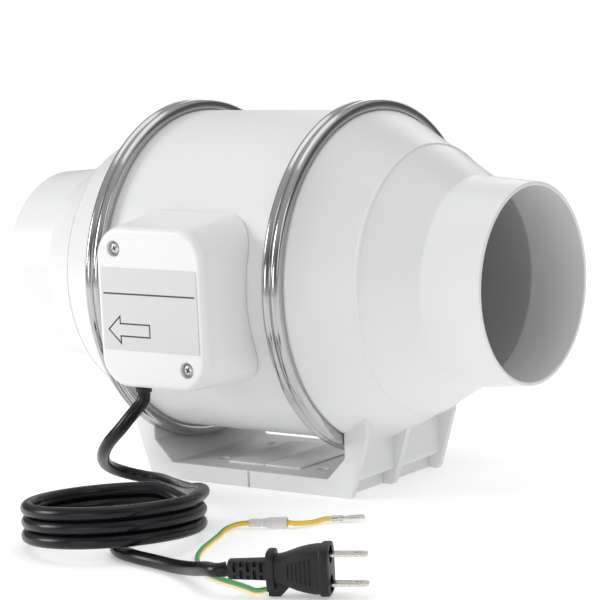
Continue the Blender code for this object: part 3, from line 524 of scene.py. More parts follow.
def studio():
    camera_data = bpy.data.cameras.new("camera")
    camera_data.lens = CAMERA_LENS
    camera_data.sensor_width = 36.0
    camera = bpy.data.objects.new("camera", camera_data)
    bpy.context.scene.collection.objects.link(camera)
    yaw, pitch, roll = CAMERA_TURNS
    ahead = Vector((-sin(yaw) * cos(pitch), cos(yaw) * cos(pitch), -sin(pitch)))
    right = Vector((cos(yaw), sin(yaw), 0.0))
    up = right.cross(ahead)
    turned_right = right * cos(roll) + up * sin(roll)
    turned_up = up * cos(roll) - right * sin(roll)
    camera.matrix_world = axes(turned_right, turned_up, -ahead, CAMERA_PLACE)
    bpy.context.scene.camera = camera

    softbox("key", (-1.45, -1.15, 0.62), (-0.02, -0.02, 0.10), (0.7, 0.7), 16)
    softbox("top", (0.0, 0.1, 1.6), (0.0, 0.0, 0.1), (1.6, 1.2), 6)
    softbox("side", (1.5, -0.5, 0.6), (0.05, 0.0, 0.1), (0.6, 0.9), 2)
    softbox("back", (-0.6, 1.5, 0.9), (0.0, 0.0, 0.1), (1.0, 0.8), 4)
    softbox("front", (0.1, -1.7, 0.28), (0.0, 0.0, 0.06), (0.9, 0.35), 3)

    world = bpy.data.worlds.new("studio")
    world.use_nodes = True
    nodes, links = world.node_tree.nodes, world.node_tree.links
    place = nodes.new("ShaderNodeTexCoord")
    split = nodes.new("ShaderNodeSeparateXYZ")
    ramp = nodes.new("ShaderNodeValToRGB")
    links.new(place.outputs["Generated"], split.inputs["Vector"])
    height = nodes.new("ShaderNodeMapRange")
    height.inputs["From Min"].default_value = -0.2
    links.new(split.outputs["Z"], height.inputs["Value"])
    links.new(height.outputs["Result"], ramp.inputs["Fac"])
    stops = ramp.color_ramp.elements
    stops[0].position, stops[0].color = 0.10, (0.60, 0.60, 0.60, 1)
    stops[1].position, stops[1].color = 0.95, (0.60, 0.60, 0.60, 1)
    for position, value in ((0.20, 0.16), (0.38, 0.14), (0.55, 0.50)):
        stop = stops.new(position)
        stop.color = (value, value, value * 1.01, 1)
    seen = nodes.new("ShaderNodeLightPath")
    choice = nodes.new("ShaderNodeMixRGB")
    choice.inputs["Color2"].default_value = (1.0, 1.0, 1.0, 1)
    links.new(seen.outputs["Is Camera Ray"], choice.inputs["Fac"])
    links.new(ramp.outputs["Color"], choice.inputs["Color1"])
    links.new(choice.outputs["Color"], nodes["Background"].inputs["Color"])
    bpy.context.scene.world = world
    bpy.context.scene.view_settings.view_transform = "Standard"

    shape = bmesh.new()
    bmesh.ops.create_circle(shape, cap_ends=True, segments=96, radius=FLOOR_RADIUS)
    paint = plastic("floor_white", (0.93, 0.93, 0.93), (0.92, 0.92, 0.92), (0.85, 0.95), 50, 0.00001, 0.02)
    shader = paint.node_tree.nodes["Principled BSDF"]
    shader.inputs["Emission Color"].default_value = (1, 1, 1, 1)
    shader.inputs["Emission Strength"].default_value = FLOOR_GLOW
    floor = solid("floor", shape, paint)
    floor.location.z = -FLOOR_DROP


# ---- cord, plug and earth lead

def smooth_route(points, spacing):
    """Points at an even spacing on a Catmull-Rom curve through the route's own points."""
    per_gap = 24
    route = [Vector(p) for p in points]
    route = [2 * route[0] - route[1]] + route + [2 * route[-1] - route[-2]]
    fine = []
    for a, b, c, d in zip(route, route[1:], route[2:], route[3:]):
        for i in range(per_gap):
            t = i / per_gap
            fine.append(0.5 * (2 * b + (c - a) * t + (2 * a - 5 * b + 4 * c - d) * t * t
                               + (3 * b - a - 3 * c + d) * t ** 3))
    fine.append(route[-2])
    along = np.concatenate([[0.0], np.cumsum([(b - a).length for a, b in zip(fine, fine[1:])])])
    wanted = np.linspace(0.0, along[-1], max(2, round(along[-1] / spacing)) + 1)
    flat = [np.interp(wanted, along, [p[k] for p in fine]) for k in range(3)]
    return [Vector((flat[0][i], flat[1][i], flat[2][i])) for i in range(len(wanted))]


def round_curve(name, points, diameter, paint):
    curve = bpy.data.curves.new(name, "CURVE")
    curve.dimensions = "3D"
    curve.bevel_depth = diameter / 2 * MM
    curve.bevel_resolution = 5
    curve.use_fill_caps = True
    line = curve.splines.new("POLY")
    line.points.add(len(points) - 1)
    for spot, place in zip(line.points, points):
        spot.co = (*(place * MM), 1.0)
    line.use_smooth = True
    curve.materials.append(paint)
    made = bpy.data.objects.new(name, curve)
    bpy.context.scene.collection.objects.link(made)
    return made


plug_ahead = Vector((cos(PLUG_HEADING), sin(PLUG_HEADING), 0))
plug_across = Vector((-sin(PLUG_HEADING), cos(PLUG_HEADING), 0))
plug_place = Matrix.Translation(PLUG_START * MM) @ Matrix.Rotation(PLUG_HEADING, 4, "Z")


def on_plug(along, side=0.0, up=0.0):
    return PLUG_START + plug_ahead * along + plug_across * side + Vector((0, 0, up))


exit_x, exit_y = CORD_EXIT
COIL_OUTER = COIL_TURN_RADIUS + CORD / 2
COIL_TILT = atan2(CORD + 4 * GAP, 2 * COIL_OUTER)
TOP_LEVEL = 2.5 * CORD + 2 * GAP
COIL_END = -888  # degrees in plan, where the lowest turn leaves the ring
TURN_INWARDS = ((-892, 39.4), (-902, 37.6))  # degrees in plan and radius, on the way to the middle


def on_coil(degree, radius, level):
    """A point of the tilted coil, at an angle in plan, a radius and a height above the coil's underside."""
    angle = radians(degree)
    lift = radius * cos(angle - COIL_RAISED_SIDE) * sin(COIL_TILT)
    return (COIL_MIDDLE[0] + radius * cos(angle), COIL_MIDDLE[1] + radius * sin(angle),
            COIL_OUTER * sin(COIL_TILT) + 0.1 + lift + level)


DROP_ROUTE = [
    (exit_x, exit_y, GLAND_END - GAP), (exit_x, exit_y, 55.0), (-20.0, -96.0, 52.2), (-22.4, -98.2, 48.8),
    (-25.8, -100.8, 44.0), (-30.4, -102.0, 38.8), (-37.4, -101.2, 33.0), (-45.8, -96.6, 26.4),
    (-55.2, -87.2, 19.4), (-62.6, -75.4, 12.8), (-64.2, -63.6, 7.4), (-57.2, -56.8, 4.2),
    (-44.6, -56.8, 3.6), (-29.4, -64.6, 4.2), (-12.4, -78.4, 7.2), (2.5, -92.0, 10.6),
    (15.5, -104.0, 13.8), (28.0, -114.8, 17.4), on_coil(54, COIL_TURN_RADIUS + 3.4, TOP_LEVEL),
    on_coil(38, COIL_TURN_RADIUS + 1.0, TOP_LEVEL),
    on_coil(TOP_TURN_START + 3, COIL_TURN_RADIUS, TOP_LEVEL)]
LEAD_ROUTE = [
    (-18.0, -152.0, 3.4), (-11.0, -141.5, 3.4), (2.0, -136.5, 3.4), (14.5, -140.5, 3.4),
    (21.5, -151.0, 3.4), (23.5, -163.5, 3.4), (27.5, -174.5, 3.4), (36.5, -182.2, 3.4),
    (49.5, -186.6, 3.4), (63.0, -189.2, 3.4), (77.0, -193.0, 3.8), (89.6, -198.6, 5.6),
    (100.8, -205.2, 8.2), (109.8, -210.2, 10.4), on_plug(-5, -0.3, -0.7), on_plug(-2 * GAP)]
sleeve_start = Vector((54.5, -110.6, 2.8))
sleeve_way = Vector((0.89, 0.455, 0.0)).normalized()
EARTH_ROUTE = [
    on_plug(17.0 - 2 * GAP, 0, -8.9), on_plug(11.0, 1.6, -10.0), (124.0, -201.0, 1.6),
    (114.0, -197.2, 1.4), (102.5, -193.6, 1.4), (91.0, -187.8, 1.4), (80.0, -179.4, 1.4),
    (70.5, -169.0, 1.4), (63.4, -157.0, 1.4), (58.0, -144.0, 1.4), (53.0, -131.0, 1.4),
    (48.6, -120.4, 1.5), sleeve_start - sleeve_way * 5.0 + Vector((0, 0, -0.6)), sleeve_start]


def coil_levels():
    """The coil's centreline: three turns that each step down on the far side, then inwards."""
    step_from, step_to = 104, 66
    rows = []
    for degree in range(TOP_TURN_START - 6, COIL_END, -4):
        done = 0.0
        for number in (1, 2):
            begin, finish = step_from - 360 * number, step_to - 360 * number
            share = min(1.0, max(0.0, (begin - degree) / (begin - finish)))
            done += share * share * (3 - 2 * share)
        wander = 0.45 * sin(radians(degree - TOP_TURN_START) * 0.83)
        rows.append(Vector(on_coil(degree, COIL_TURN_RADIUS + wander, (2.5 - done) * CORD)))
    return rows


def main_cord():
    coil = coil_levels()
    closing = [on_coil(degree, radius, 0.5 * CORD) for degree, radius in TURN_INWARDS]
    points = smooth_route(DROP_ROUTE + [coil[0]], ROUTE_STEP)[:-1] + coil
    tail = smooth_route(coil[-2:] + closing + LEAD_ROUTE, ROUTE_STEP)
    skip = next(i for i, p in enumerate(tail) if (p - coil[-1]).length < 2.0)
    points += tail[skip + 1:]
    cord = round_curve("power_cord", points, CORD, CORD_BLACK)
    piece(cord, "black_pvc", "power_cord_drop", "power_cord_coil", "power_cord_lead")
    return cord, points


def superellipse(half_width, half_height, power):
    count = 48
    points = []
    for i in range(count):
        turn = 2 * pi * i / count
        c, s = cos(turn), sin(turn)
        bulge = (abs(c) ** power + abs(s) ** power) ** (-1 / power)
        points.append((half_width * bulge * c, half_height * bulge * s))
    return points


def plug_loft(name, stations):
    shape = bmesh.new()
    rows = []
    for along, half_height, half_width, power in stations:
        ring = superellipse(half_width, half_height, power)
        rows.append([shape.verts.new(on_plug(along, side, up)) for side, up in ring])
    skin(shape, rows)
    return solid(name, shape)


def plug_block(name, low, high, edge):
    """A block in the plug's own directions: along it, across it and up."""
    made = block(name, low, high, edge)
    made.data.transform(plug_place)
    return made


def plug():
    """Slotted strain relief, flange with a wedge for the earth wire, and a ribbed, flared body."""
    relief = plug_loft("relief", [
        (0.0, 3.6, 3.6, 2.6), (0.25, 4.1, 4.1, 2.6), (0.8, 4.3, 4.3, 2.7), (9.0, 4.5, 4.5, 2.9),
        (17.5, 4.7, 4.7, 3.2)])
    slots = []
    for number, along in enumerate((2.6, 5.5, 8.4, 11.3, 14.2)):
        low, high = ((-3.55, 0.45), (1.85, 3.9)) if number % 2 else ((-0.35, 3.65), (-3.9, -1.75))
        for side in (-1, 1):
            for bottom, top in (low, high):
                inner, outer = side * 3.75 - 1.35, side * 3.75 + 1.35
                slots.append(plug_block("slot", (along, inner, bottom), (along + 1.4, outer, top), 0.2))
    flange = plug_loft("flange", [
        (16.9, 7.8, 5.6, 4.0), (17.2, 8.3, 6.1, 4.0), (17.8, 8.4, 6.2, 4.2), (19.6, 8.4, 6.2, 4.2),
        (20.2, 8.2, 6.05, 4.0), (20.4, 7.8, 5.7, 4.0)])
    body = plug_loft("plug", [
        (18.5, 6.0, 5.3, 3.0), (20.4, 6.3, 5.55, 3.0), (22.4, 6.5, 5.7, 3.1), (24.5, 7.0, 5.95, 3.2),
        (27.0, 7.8, 6.5, 3.3), (29.5, 8.7, 7.05, 3.4), (32.0, 9.35, 7.55, 3.5), (34.5, 9.85, 8.0, 3.6),
        (37.0, 10.2, 8.3, 3.7), (39.9, 10.35, 8.45, 3.8), (40.0, 10.65, 8.7, 4.0), (40.4, 10.95, 8.95, 4.2),
        (40.9, 11.0, 9.0, 4.4), (43.2, 11.0, 9.0, 4.4), (43.8, 10.85, 8.85, 4.4), (44.0, 10.5, 8.5, 4.4)])
    side_view = [(17.1, -4.0), (17.1, -11.5, 0.6), (22.3, -11.5, 1.2), (27.4, -6.2, 1.0), (27.4, -4.0)]
    wedge = prism("wedge", side_view, -2.55, 2.55, "Y", None, 0.5)
    wedge.data.transform(plug_place)
    cut(relief, *slots)
    unite(body, flange, relief, wedge)
    details = []
    for side in (-1, 1):
        for number in range(6):
            along = 25.6 + number * 1.9
            out = 6.05 + number * 0.36
            half = 3.3 + number * 0.55
            details.append(plug_block("rib", (along, side * out - 0.75, -half),
                                      (along + 0.95, side * out + 0.75, half), 0.35))
    unite(body, *details)
    spots = (-BLADE_SPACING / 2, BLADE_SPACING / 2)
    cut(body, *[rod("blade_hole", on_plug(42.6, 0, up), on_plug(50.0, 0, up), 3.9, sides=32)
                for up in spots])
    body.name = "plug"
    piece(body, "black_pvc", "plug_body", paint=PLUG_BLACK)
    pieces = [body]
    for number, up in enumerate(spots, 1):
        outline = [(41.0, -3.1, 0), (57.9, -3.1, 0.8), (59.9, -1.7, 0.8), (59.9, 1.7, 0.8),
                   (57.9, 3.1, 0.8), (41.0, 3.1, 0)]
        prong = prism(f"plug_prong_{number}", outline, -0.72, 0.72, "Z", None, 0.2)
        cut(prong, rod("eye", (55.6, 0, -5), (55.6, 0, 5), 1.5, sides=24))
        prong.data.transform(Matrix.Translation(Vector((0, 0, up)) * MM) @ plug_place)
        pieces.append(piece(prong, "nickel_plate", f"plug_blade_{number}", paint=NICKEL))
    return pieces


STRIPE_START, STRIPE_TWIST = radians(202), radians(85)
STRIPE_SHARE = 0.38  # of the way round the wire


def striped_tube(name, points, diameter, sides=20):
    """A round insulated wire in green with a yellow stripe; the stripe turns slowly round the wire."""
    shape = bmesh.new()
    rows = []
    up = Vector((0, 0, 1))
    total = len(points) - 1
    for i, spot in enumerate(points):
        way = (points[min(i + 1, total)] - points[max(i - 1, 0)]).normalized()
        side = way.cross(up).normalized()
        over = side.cross(way).normalized()
        turns = [2 * pi * k / sides + STRIPE_START + STRIPE_TWIST * i / total for k in range(sides)]
        rows.append([shape.verts.new(spot + (side * cos(t) + over * sin(t)) * diameter / 2) for t in turns])
    for one, two in zip(rows, rows[1:]):
        for k in range(sides):
            j = (k + 1) % sides
            face = shape.faces.new((one[k], one[j], two[j], two[k]))
            face.material_index = 1 if k < sides * STRIPE_SHARE else 0
    shape.faces.new(list(reversed(rows[0])))
    shape.faces.new(rows[-1])
    made = solid(name, shape, None, 50)
    made.data.materials.append(GREEN)
    made.data.materials.append(YELLOW)
    return made


def earth_lead():
    points = smooth_route(EARTH_ROUTE, WIRE_STEP)
    way, start = sleeve_way, sleeve_start
    wire_end = start + way * (SLEEVE_LENGTH + GAP)
    fork_start = Vector((83.0, -84.0, 1.9))
    fork_way = Vector((0.75, 0.66, 0.0)).normalized()
    inside = smooth_route([start, start + way * 9, wire_end], 2.0)
    end_route = [wire_end, wire_end + way * 4 + Vector((0, 0, -0.5)), (78.6, -92.6, 1.6),
                 fork_start - fork_way * 3, fork_start]
    tail = smooth_route(end_route, WIRE_STEP)
    whole = points + inside[1:] + tail[1:]
    lead = striped_tube("earth_wire", whole, WIRE)
    piece(lead, "earth_wire", "earth_lead", "earth_lead_end")
    sleeve_loop = [(0.3, 1.22, 0), (0.3, 1.9, 0.3), (8.2, 1.95, 0.6), (9.8, 2.6, 0.6),
                   (SLEEVE_LENGTH, 2.65, 0.3), (SLEEVE_LENGTH, 1.9, 0.2),
                   (10.6, 1.86, 0.4), (9.2, 1.22, 0.4)]
    sleeve = turned("wire_sleeve", sleeve_loop, CLEAR, 40, middle=(0, 0, 0), along="Z")
    stand(sleeve, start, way)
    piece(sleeve, "clear_sleeve", "earth_sleeve")
    outline = [(4.6, -1.5, 0.3), (8.4, -2.95, 1.0), (15.6, -3.05, 0.8), (16.2, -2.3, 0.5),
               (15.8, -1.6, 0.4), (10.2, -1.5, 1.5), (10.2, 1.5, 1.5), (15.8, 1.6, 0.4), (16.2, 2.3, 0.5),
               (15.6, 3.05, 0.8), (8.4, 2.95, 1.0), (4.6, 1.5, 0.3)]
    fork = prism("fork_tongue", outline, -0.4, 0.4, "Z", None, 0.15)
    crimped = [(0.3, 0.0), (0.3, 1.45, 0.2), (2.0, 1.5, 0.3), (2.5, 1.25, 0.3), (3.4, 1.25, 0.3),
               (3.9, 1.5, 0.3), (5.6, 1.45, 0.4), (6.0, 0.9, 0.2), (6.0, 0.0)]
    barrel = turned("barrel", crimped, None, 32, middle=(0, 0, 0), along="Z")
    barrel.data.transform(Matrix.Rotation(pi / 2, 4, "Y"))
    unite(fork, barrel)
    heading = Matrix.Rotation(atan2(fork_way.y, fork_way.x), 4, "Z")
    fork.data.transform(Matrix.Translation(fork_start * MM) @ heading)
    fork.name = "fork_end"
    piece(fork, "nickel_plate", "fork_terminal", paint=NICKEL)
    return lead, whole, [sleeve, fork]


studio()
power_cord, power_points = main_cord()
plug_pieces = plug()
earth_wire, earth_points, earth_pieces = earth_lead()


# ---- duct body

END_LOOP = [
    (FLANGE_X + GASKET_SPACE, FLANGE_RADIUS, 0.4),
    (FLANGE_X + FLANGE_OUT, FLANGE_RADIUS, 0.6),
    (FLANGE_X + FLANGE_OUT, BODY_RADIUS, 0.4),
    (CONE_START_X, BODY_RADIUS, 2.5),
    (BEAD_X - 2.0, BEAD_RADIUS + 1.06, 0.3),
    (BEAD_X - 1.5, BEAD_RADIUS + 1.55, 0.5),
    (BEAD_X - 0.4, BEAD_RADIUS + 0.95, 0.5),
    (BEAD_X, BEAD_RADIUS, 0.3),
    (NECK_X, NECK_RADIUS, 4.0),
    (END_X, MOUTH_RADIUS, 0.7),
    (END_X, MOUTH_RADIUS - WALL + 0.5, 0.7),
    (NECK_X - 0.6, NECK_RADIUS - WALL - 0.3, 5.0),
    (CONE_START_X, BODY_RADIUS - WALL - 0.4, 2.5),
    (FLANGE_X + GASKET_SPACE, BODY_RADIUS - WALL - 0.4, 0.3),
]


def base_half(name, side, tongue):
    """Half of the bracket: plate, end wall, three ribs and its side of the lap joint at the seam."""
    wall = [
        (WALL_IN_X - 11.3, PLATE_TOP, 2.0), (WALL_IN_X, PLATE_TOP + 11.4, 2.0), (WALL_IN_X, 52.0),
        (WALL_OUT_X, 52.0), (WALL_OUT_X, 7.8, 6.0), (WALL_FOOT_X, 6.6, 0.8), (WALL_FOOT_X, 0.0, 0.6),
        (GAP / 2, 0.0, 0.25), (GAP / 2, PLATE_TOP, 0.35)]
    frame_side = [
        (GAP / 2, 0.0, 0.25), (WALL_OUT_X - 1.6, 0.0, 1.2), (WALL_OUT_X - 0.6, 1.4, 1.0),
        (ARM_X, ARM_KNEE_Z, 1.5), (ARM_X, 66.0), (WALL_IN_X, 66.0), (WALL_IN_X, PLATE_TOP + 11.4, 2.0),
        (WALL_IN_X - 11.3, PLATE_TOP, 2.0), (GAP / 2, PLATE_TOP, 0.35)]
    rib = [
        (WALL_IN_X - 3.0, 0.05), (WALL_OUT_X - 1.6, 0.05, 1.2), (WALL_OUT_X - 0.6, 1.4, 1.0),
        (ARM_X - 0.05, ARM_KNEE_Z, 1.5), (ARM_X - 0.05, 66.0), (WALL_IN_X + 1.0, 66.0),
        (WALL_IN_X + 1.0, 20.0), (WALL_IN_X - 3.0, 15.0)]
    if side < 0:
        wall, frame_side, rib = mirror_x(wall), mirror_x(frame_side), mirror_x(rib)
    deep = BASE_HALF_DEPTH
    half = prism(name, frame_side, -deep, RIB - deep, "Y", WHITE, 0.45)
    others = [prism("frame_side", frame_side, deep - RIB, deep, "Y", None, 0.45),
              prism("rib", rib, -4.0, -0.6, "Y")]
    plate = prism("plate", shrunk(filleted(wall), 0.02), 2.3 - deep, deep - 2.3, "Y")
    raised = block("raised", (min(side * 0.2, side * 23.0), -27.0, PLATE_TOP - 2.0),
                   (max(side * 0.2, side * 23.0), 27.0, PLATE_TOP + 0.8), 0.35)
    unite(half, plate)
    unite(half, *others, raised)
    seat = [(side * x, r) for x, r in
            ((0.0, BAND_RADIUS + 0.6), (WALL_IN_X, BAND_RADIUS + 0.6), (WALL_IN_X, BODY_RADIUS - 1.0),
             (BEAD_X, BEAD_RADIUS - 1.2), (BEAD_X, 0.0), (0.0, 0.0))]
    cutters = [turned("seat", seat)]
    for y in (-MOUNT_HOLE[1], MOUNT_HOLE[1]):
        hole = (side * MOUNT_HOLE[0], y)
        cutters.append(rod("hole", (*hole, -5), (*hole, 20), 2.6))
        cutters.append(rod("sink", (*hole, PLATE_TOP - 0.5), (*hole, PLATE_TOP + 0.5), 2.7, end_radius=3.7))
    length, half_depth, height = 12.0, 30.0, 4.0
    if tongue:
        unite(half, block("lap", (-length, -half_depth, 0), (1.0, half_depth, height), 0.3))
        for y in (-16.0, 16.0):
            cutters.append(rod("sink", (-length / 2, y, -1), (-length / 2, y, 2.3), 3.6))
    else:
        cutters.append(block("lap", (-length - GAP, -half_depth - GAP, -1),
                             (1, half_depth + GAP, height + GAP), 0))
    for low, high in ((-36.0, -4.0), (4.0, 36.0)):
        near, far = sorted((side * 16.0, side * 53.0))
        pocket = block("pocket", (near, low, -1), (far, high, 3.5), 0.5)
        middle = (side * MOUNT_HOLE[0], (low + high) / 2)
        cut(pocket, rod("boss", (*middle, -2), (*middle, 5), 6.0))
        cutters.append(pocket)
    return cut(half, *cutters)


def duct_body():
    for side, node, name in ((1, "inlet_end", "inlet"), (-1, "outlet_end", "outlet")):
        loop = END_LOOP if side > 0 else mirror_x(END_LOOP)
        piece(turned(f"{name}_cone", loop, WHITE), "white_plastic", node)
        piece(base_half(f"{name}_bracket", side, side > 0), "white_plastic")
    flange_in = FLANGE_X - FLANGE_OUT
    casing = turned("casing_shell", [
        (-CASING_END, FLANGE_RADIUS, 0.4), (-CASING_END, BODY_RADIUS - WALL, 0.3),
        (-11.9, BODY_RADIUS - WALL), (-11.9, BODY_RADIUS - WALL - 2.4, 0.4),
        (-9.5, BODY_RADIUS - WALL - 2.4, 0.4),
        (-8.5, BODY_RADIUS - WALL), (CASING_END, BODY_RADIUS - WALL, 0.3), (CASING_END, FLANGE_RADIUS, 0.4),
        (flange_in, FLANGE_RADIUS, 0.6), (flange_in, BODY_RADIUS, 0.5), (-flange_in, BODY_RADIUS, 0.5),
        (-flange_in, FLANGE_RADIUS, 0.6)], WHITE)
    piece(casing, "white_plastic", "motor_casing")


# ---- clamp bands

def at_closure(angle, radius, x, tangent=0.0):
    return Vector((x, radius * sin(angle) + tangent * cos(angle),
                   AXIS_HEIGHT + radius * cos(angle) - tangent * sin(angle)))


def clamp_band(name, side):
    """Sheet steel pressed into two round beads with a valley between them, and an ear at each end."""
    steps = 28
    valley = BAND_RADIUS - BEAD_RISE
    inside = BAND_HALF - BAND_SHEET
    outer, inner = [], []
    for i in range(steps + 1):
        x = BAND_HALF * (2 * i / steps - 1)
        swell = abs(sin(pi * x / BAND_HALF)) ** 0.75
        outer.append((x, valley + BEAD_RISE * swell))
        inner.append((x * inside / BAND_HALF, valley - BAND_SHEET + 1.6 * swell))
    loop = [(-BAND_HALF, BAND_FOOT, 0.3)] + outer + [(BAND_HALF, BAND_FOOT, 0.3), (inside, BAND_FOOT, 0.3)]
    loop += list(reversed(inner)) + [(-inside, BAND_FOOT, 0.3)]
    loop = [(corner[0] + side * FLANGE_X, *corner[1:]) for corner in loop]
    band = turned(f"{name}_band", loop, STEEL, 200, CLOSURE + CLOSURE_HALF, 2 * pi - 2 * CLOSURE_HALF)
    ears = []
    for end in (-1, 1):
        angle = CLOSURE + end * CLOSURE_HALF
        outline = [(-BAND_HALF, EAR_FOOT), (-BAND_HALF, EAR_RADIUS, 2.6), (BAND_HALF, EAR_RADIUS, 2.6),
                   (BAND_HALF, EAR_FOOT)]
        ear = prism("ear", outline, 0.0, EAR_SHEET, "Z", None, 0.3)
        cut(ear, rod("bore", (0, BOLT_RING_RADIUS, -5), (0, BOLT_RING_RADIUS, 5), 2.3))
        tangent = Vector((0, cos(angle), -sin(angle))) * end
        radial = Vector((0, sin(angle), cos(angle)))
        origin = (Vector((side * FLANGE_X, 0, AXIS_HEIGHT)) - tangent * (EAR_SHEET - 0.1)) * MM
        spot = axes((1, 0, 0), radial, tangent, origin)
        ear.data.transform(spot)
        if spot.determinant() < 0:
            ear.data.flip_normals()
        ears.append(ear)
    unite(band, *ears)
    piece(band, "polished_steel", f"{name}_clamp_band", paint=STEEL)


def thread(name, start, way, length, radius, pitch, paint=None):
    """A rolled thread: a turned bar whose radius rises and falls along it."""
    loop = [(0.0, 0.0), (0.0, radius - 0.35)]
    count = int(length / pitch)
    for i in range(count):
        loop += [(pitch * (i + 0.25), radius - 0.3), (pitch * (i + 0.75), radius)]
    loop += [(length, radius - 0.5), (length, 0.0)]
    bar = turned(name, loop, paint, 20, middle=(0, 0, 0), along="Z")
    stand(bar, start, way)
    return bar


def hexagon(name, start, way, across, height, paint=None, edge=0.5):
    """A hexagonal head or nut with chamfered corners."""
    radius = across / 2 / cos(pi / 6)
    corners = [(radius * cos(pi * k / 3), radius * sin(pi * k / 3)) for k in range(6)]
    body = prism(name, corners, 0.0, height, "Z", paint)
    limit = [(0.0, 0.0), (0.0, radius - edge), (edge * 0.6, radius + 0.01),
             (height - edge * 0.6, radius + 0.01), (height, radius - edge), (height, 0.0)]
    chamfer = turned("chamfer", limit, None, 48, middle=(0, 0, 0), along="Z")
    combine(body, [chamfer], "INTERSECT")
    stand(body, start, way)
    return body


def clamp_fastening(name, side):
    def at(along):
        return at_closure(CLOSURE, BOLT_RING_RADIUS, side * FLANGE_X, along)

    way = (at(1.0) - at(0.0)).normalized()
    bolt = thread(f"{name}_bolt", at(BOLT_FROM), way, BOLT_TO - BOLT_FROM, 1.9, 0.7, ZINC)
    unite(bolt, hexagon("head", at(HEAD_FROM), way, 6.6, HEAD_TO - HEAD_FROM))
    piece(bolt, "zinc_plated_steel", f"{name}_clamp_bolt")
    nut = hexagon(f"{name}_nut", at(NUT_FROM), way, 6.8, NUT_TO - NUT_FROM, ZINC)
    cut(nut, rod("bore", at(NUT_FROM - 3), at(NUT_TO + 3), 2.05))
    piece(nut, "zinc_plated_steel", f"{name}_clamp_nut")


# ---- terminal box

def rounded(half_x, half_z, radius, middle_z):
    steps = 12
    points = []
    for sx, sz, start in ((1, 1, 0), (-1, 1, 90), (-1, -1, 180), (1, -1, 270)):
        for k in range(steps + 1):
            turn = radians(start + 90 * k / steps)
            points.append((sx * (half_x - radius) + radius * cos(turn),
                           middle_z + sz * (half_z - radius) + radius * sin(turn)))
    return points


COVER_STATIONS = [  # depth, half width, half height, corner, lift of the middle
    (-60.0, 40.6, 42.6, 18.0, 1.9), (-80.0, 38.6, 41.0, 17.5, 1.0), (-95.0, 35.6, 39.9, 16.5, 0.4),
    (BOX_FACE_Y + 4.6, 33.2, 39.35, 15.6, 0.05)]


def cover_rings(inset, face_y):
    """The cover's outline at each depth: flared sides, then a round edge to the flat face."""
    rows = []
    depths = [s[0] for s in COVER_STATIONS]
    for depth in np.linspace(depths[0], depths[-1], 13):
        sizes = [np.interp(-depth, [-d for d in depths], [s[k] for s in COVER_STATIONS])
                 for k in range(1, 5)]
        rows.append((float(depth), *[float(s) for s in sizes]))
    last = rows[-1]
    reach = last[0] - face_y
    for degree in range(12, 91, 13):
        t = radians(degree)
        pull = 3.0 * (1 - cos(t))
        rows.append((last[0] - reach * sin(t), last[1] - pull, last[2] - pull * 0.9, last[3] - pull * 0.75,
                     last[4]))
    final = rows[-1]
    rows[-1] = (face_y, *final[1:])
    rows.append((face_y, final[1] - 0.5, final[2] - 0.5, final[3] - 0.5, final[4]))
    return [(y, (w - inset, h - inset, max(2.0, c - inset), BOX_MIDDLE_Z + lift))
            for y, w, h, c, lift in rows]


def cover_loft(name, rings, paint=None):
    shape = bmesh.new()
    rows = [[shape.verts.new((x, y, z)) for x, z in rounded(*size)] for y, size in rings]
    skin(shape, rows, capped=False)
    shape.faces.new(rows[0])
    shape.faces.new(list(reversed(rows[-1])))
    return solid(name, shape, paint, 40)


def crosshead(name, place, way, head_radius, head_height, shank_radius, shank_length, spin=0.0):
    """A pan-head screw with a cross recess; its head's underside is at place and it faces along way."""
    h, r = head_height, head_radius
    loop = [(-shank_length, 0.0), (-shank_length, shank_radius * 0.5, 0.1),
            (-shank_length + 1.2, shank_radius, 0.2)]
    loop += [(0.0, shank_radius), (0.0, r, 0.25), (h * 0.35, r, h * 0.45), (h, r * 0.62, h * 0.5), (h, 0.0)]
    screw = turned(name, loop, ZINC, 48, middle=(0, 0, 0), along="Z")
    wing = r * 0.58
    cross = []
    for quarter in (0, 1):
        bar = block("wing", (-wing, -r * 0.12, h * 0.15), (wing, r * 0.12, h + 1.0), 0)
        for v in bar.data.vertices:
            if v.co.z < h * 0.5 * MM:
                v.co.x *= 0.45
        bar.data.transform(Matrix.Rotation(pi / 2 * quarter, 4, "Z"))
        cross.append(bar)
    core = rod("core", (0, 0, h * 0.1), (0, 0, h + 1.0), r * 0.10, sides=16, end_radius=r * 0.34)
    cut(screw, *cross, core)
    screw.data.transform(Matrix.Rotation(spin, 4, "Z"))
    stand(screw, place, way)
    return screw


def printed(name, corners, y):
    return prism(name, corners, y - 0.05, y + 0.03, "Y", INK)


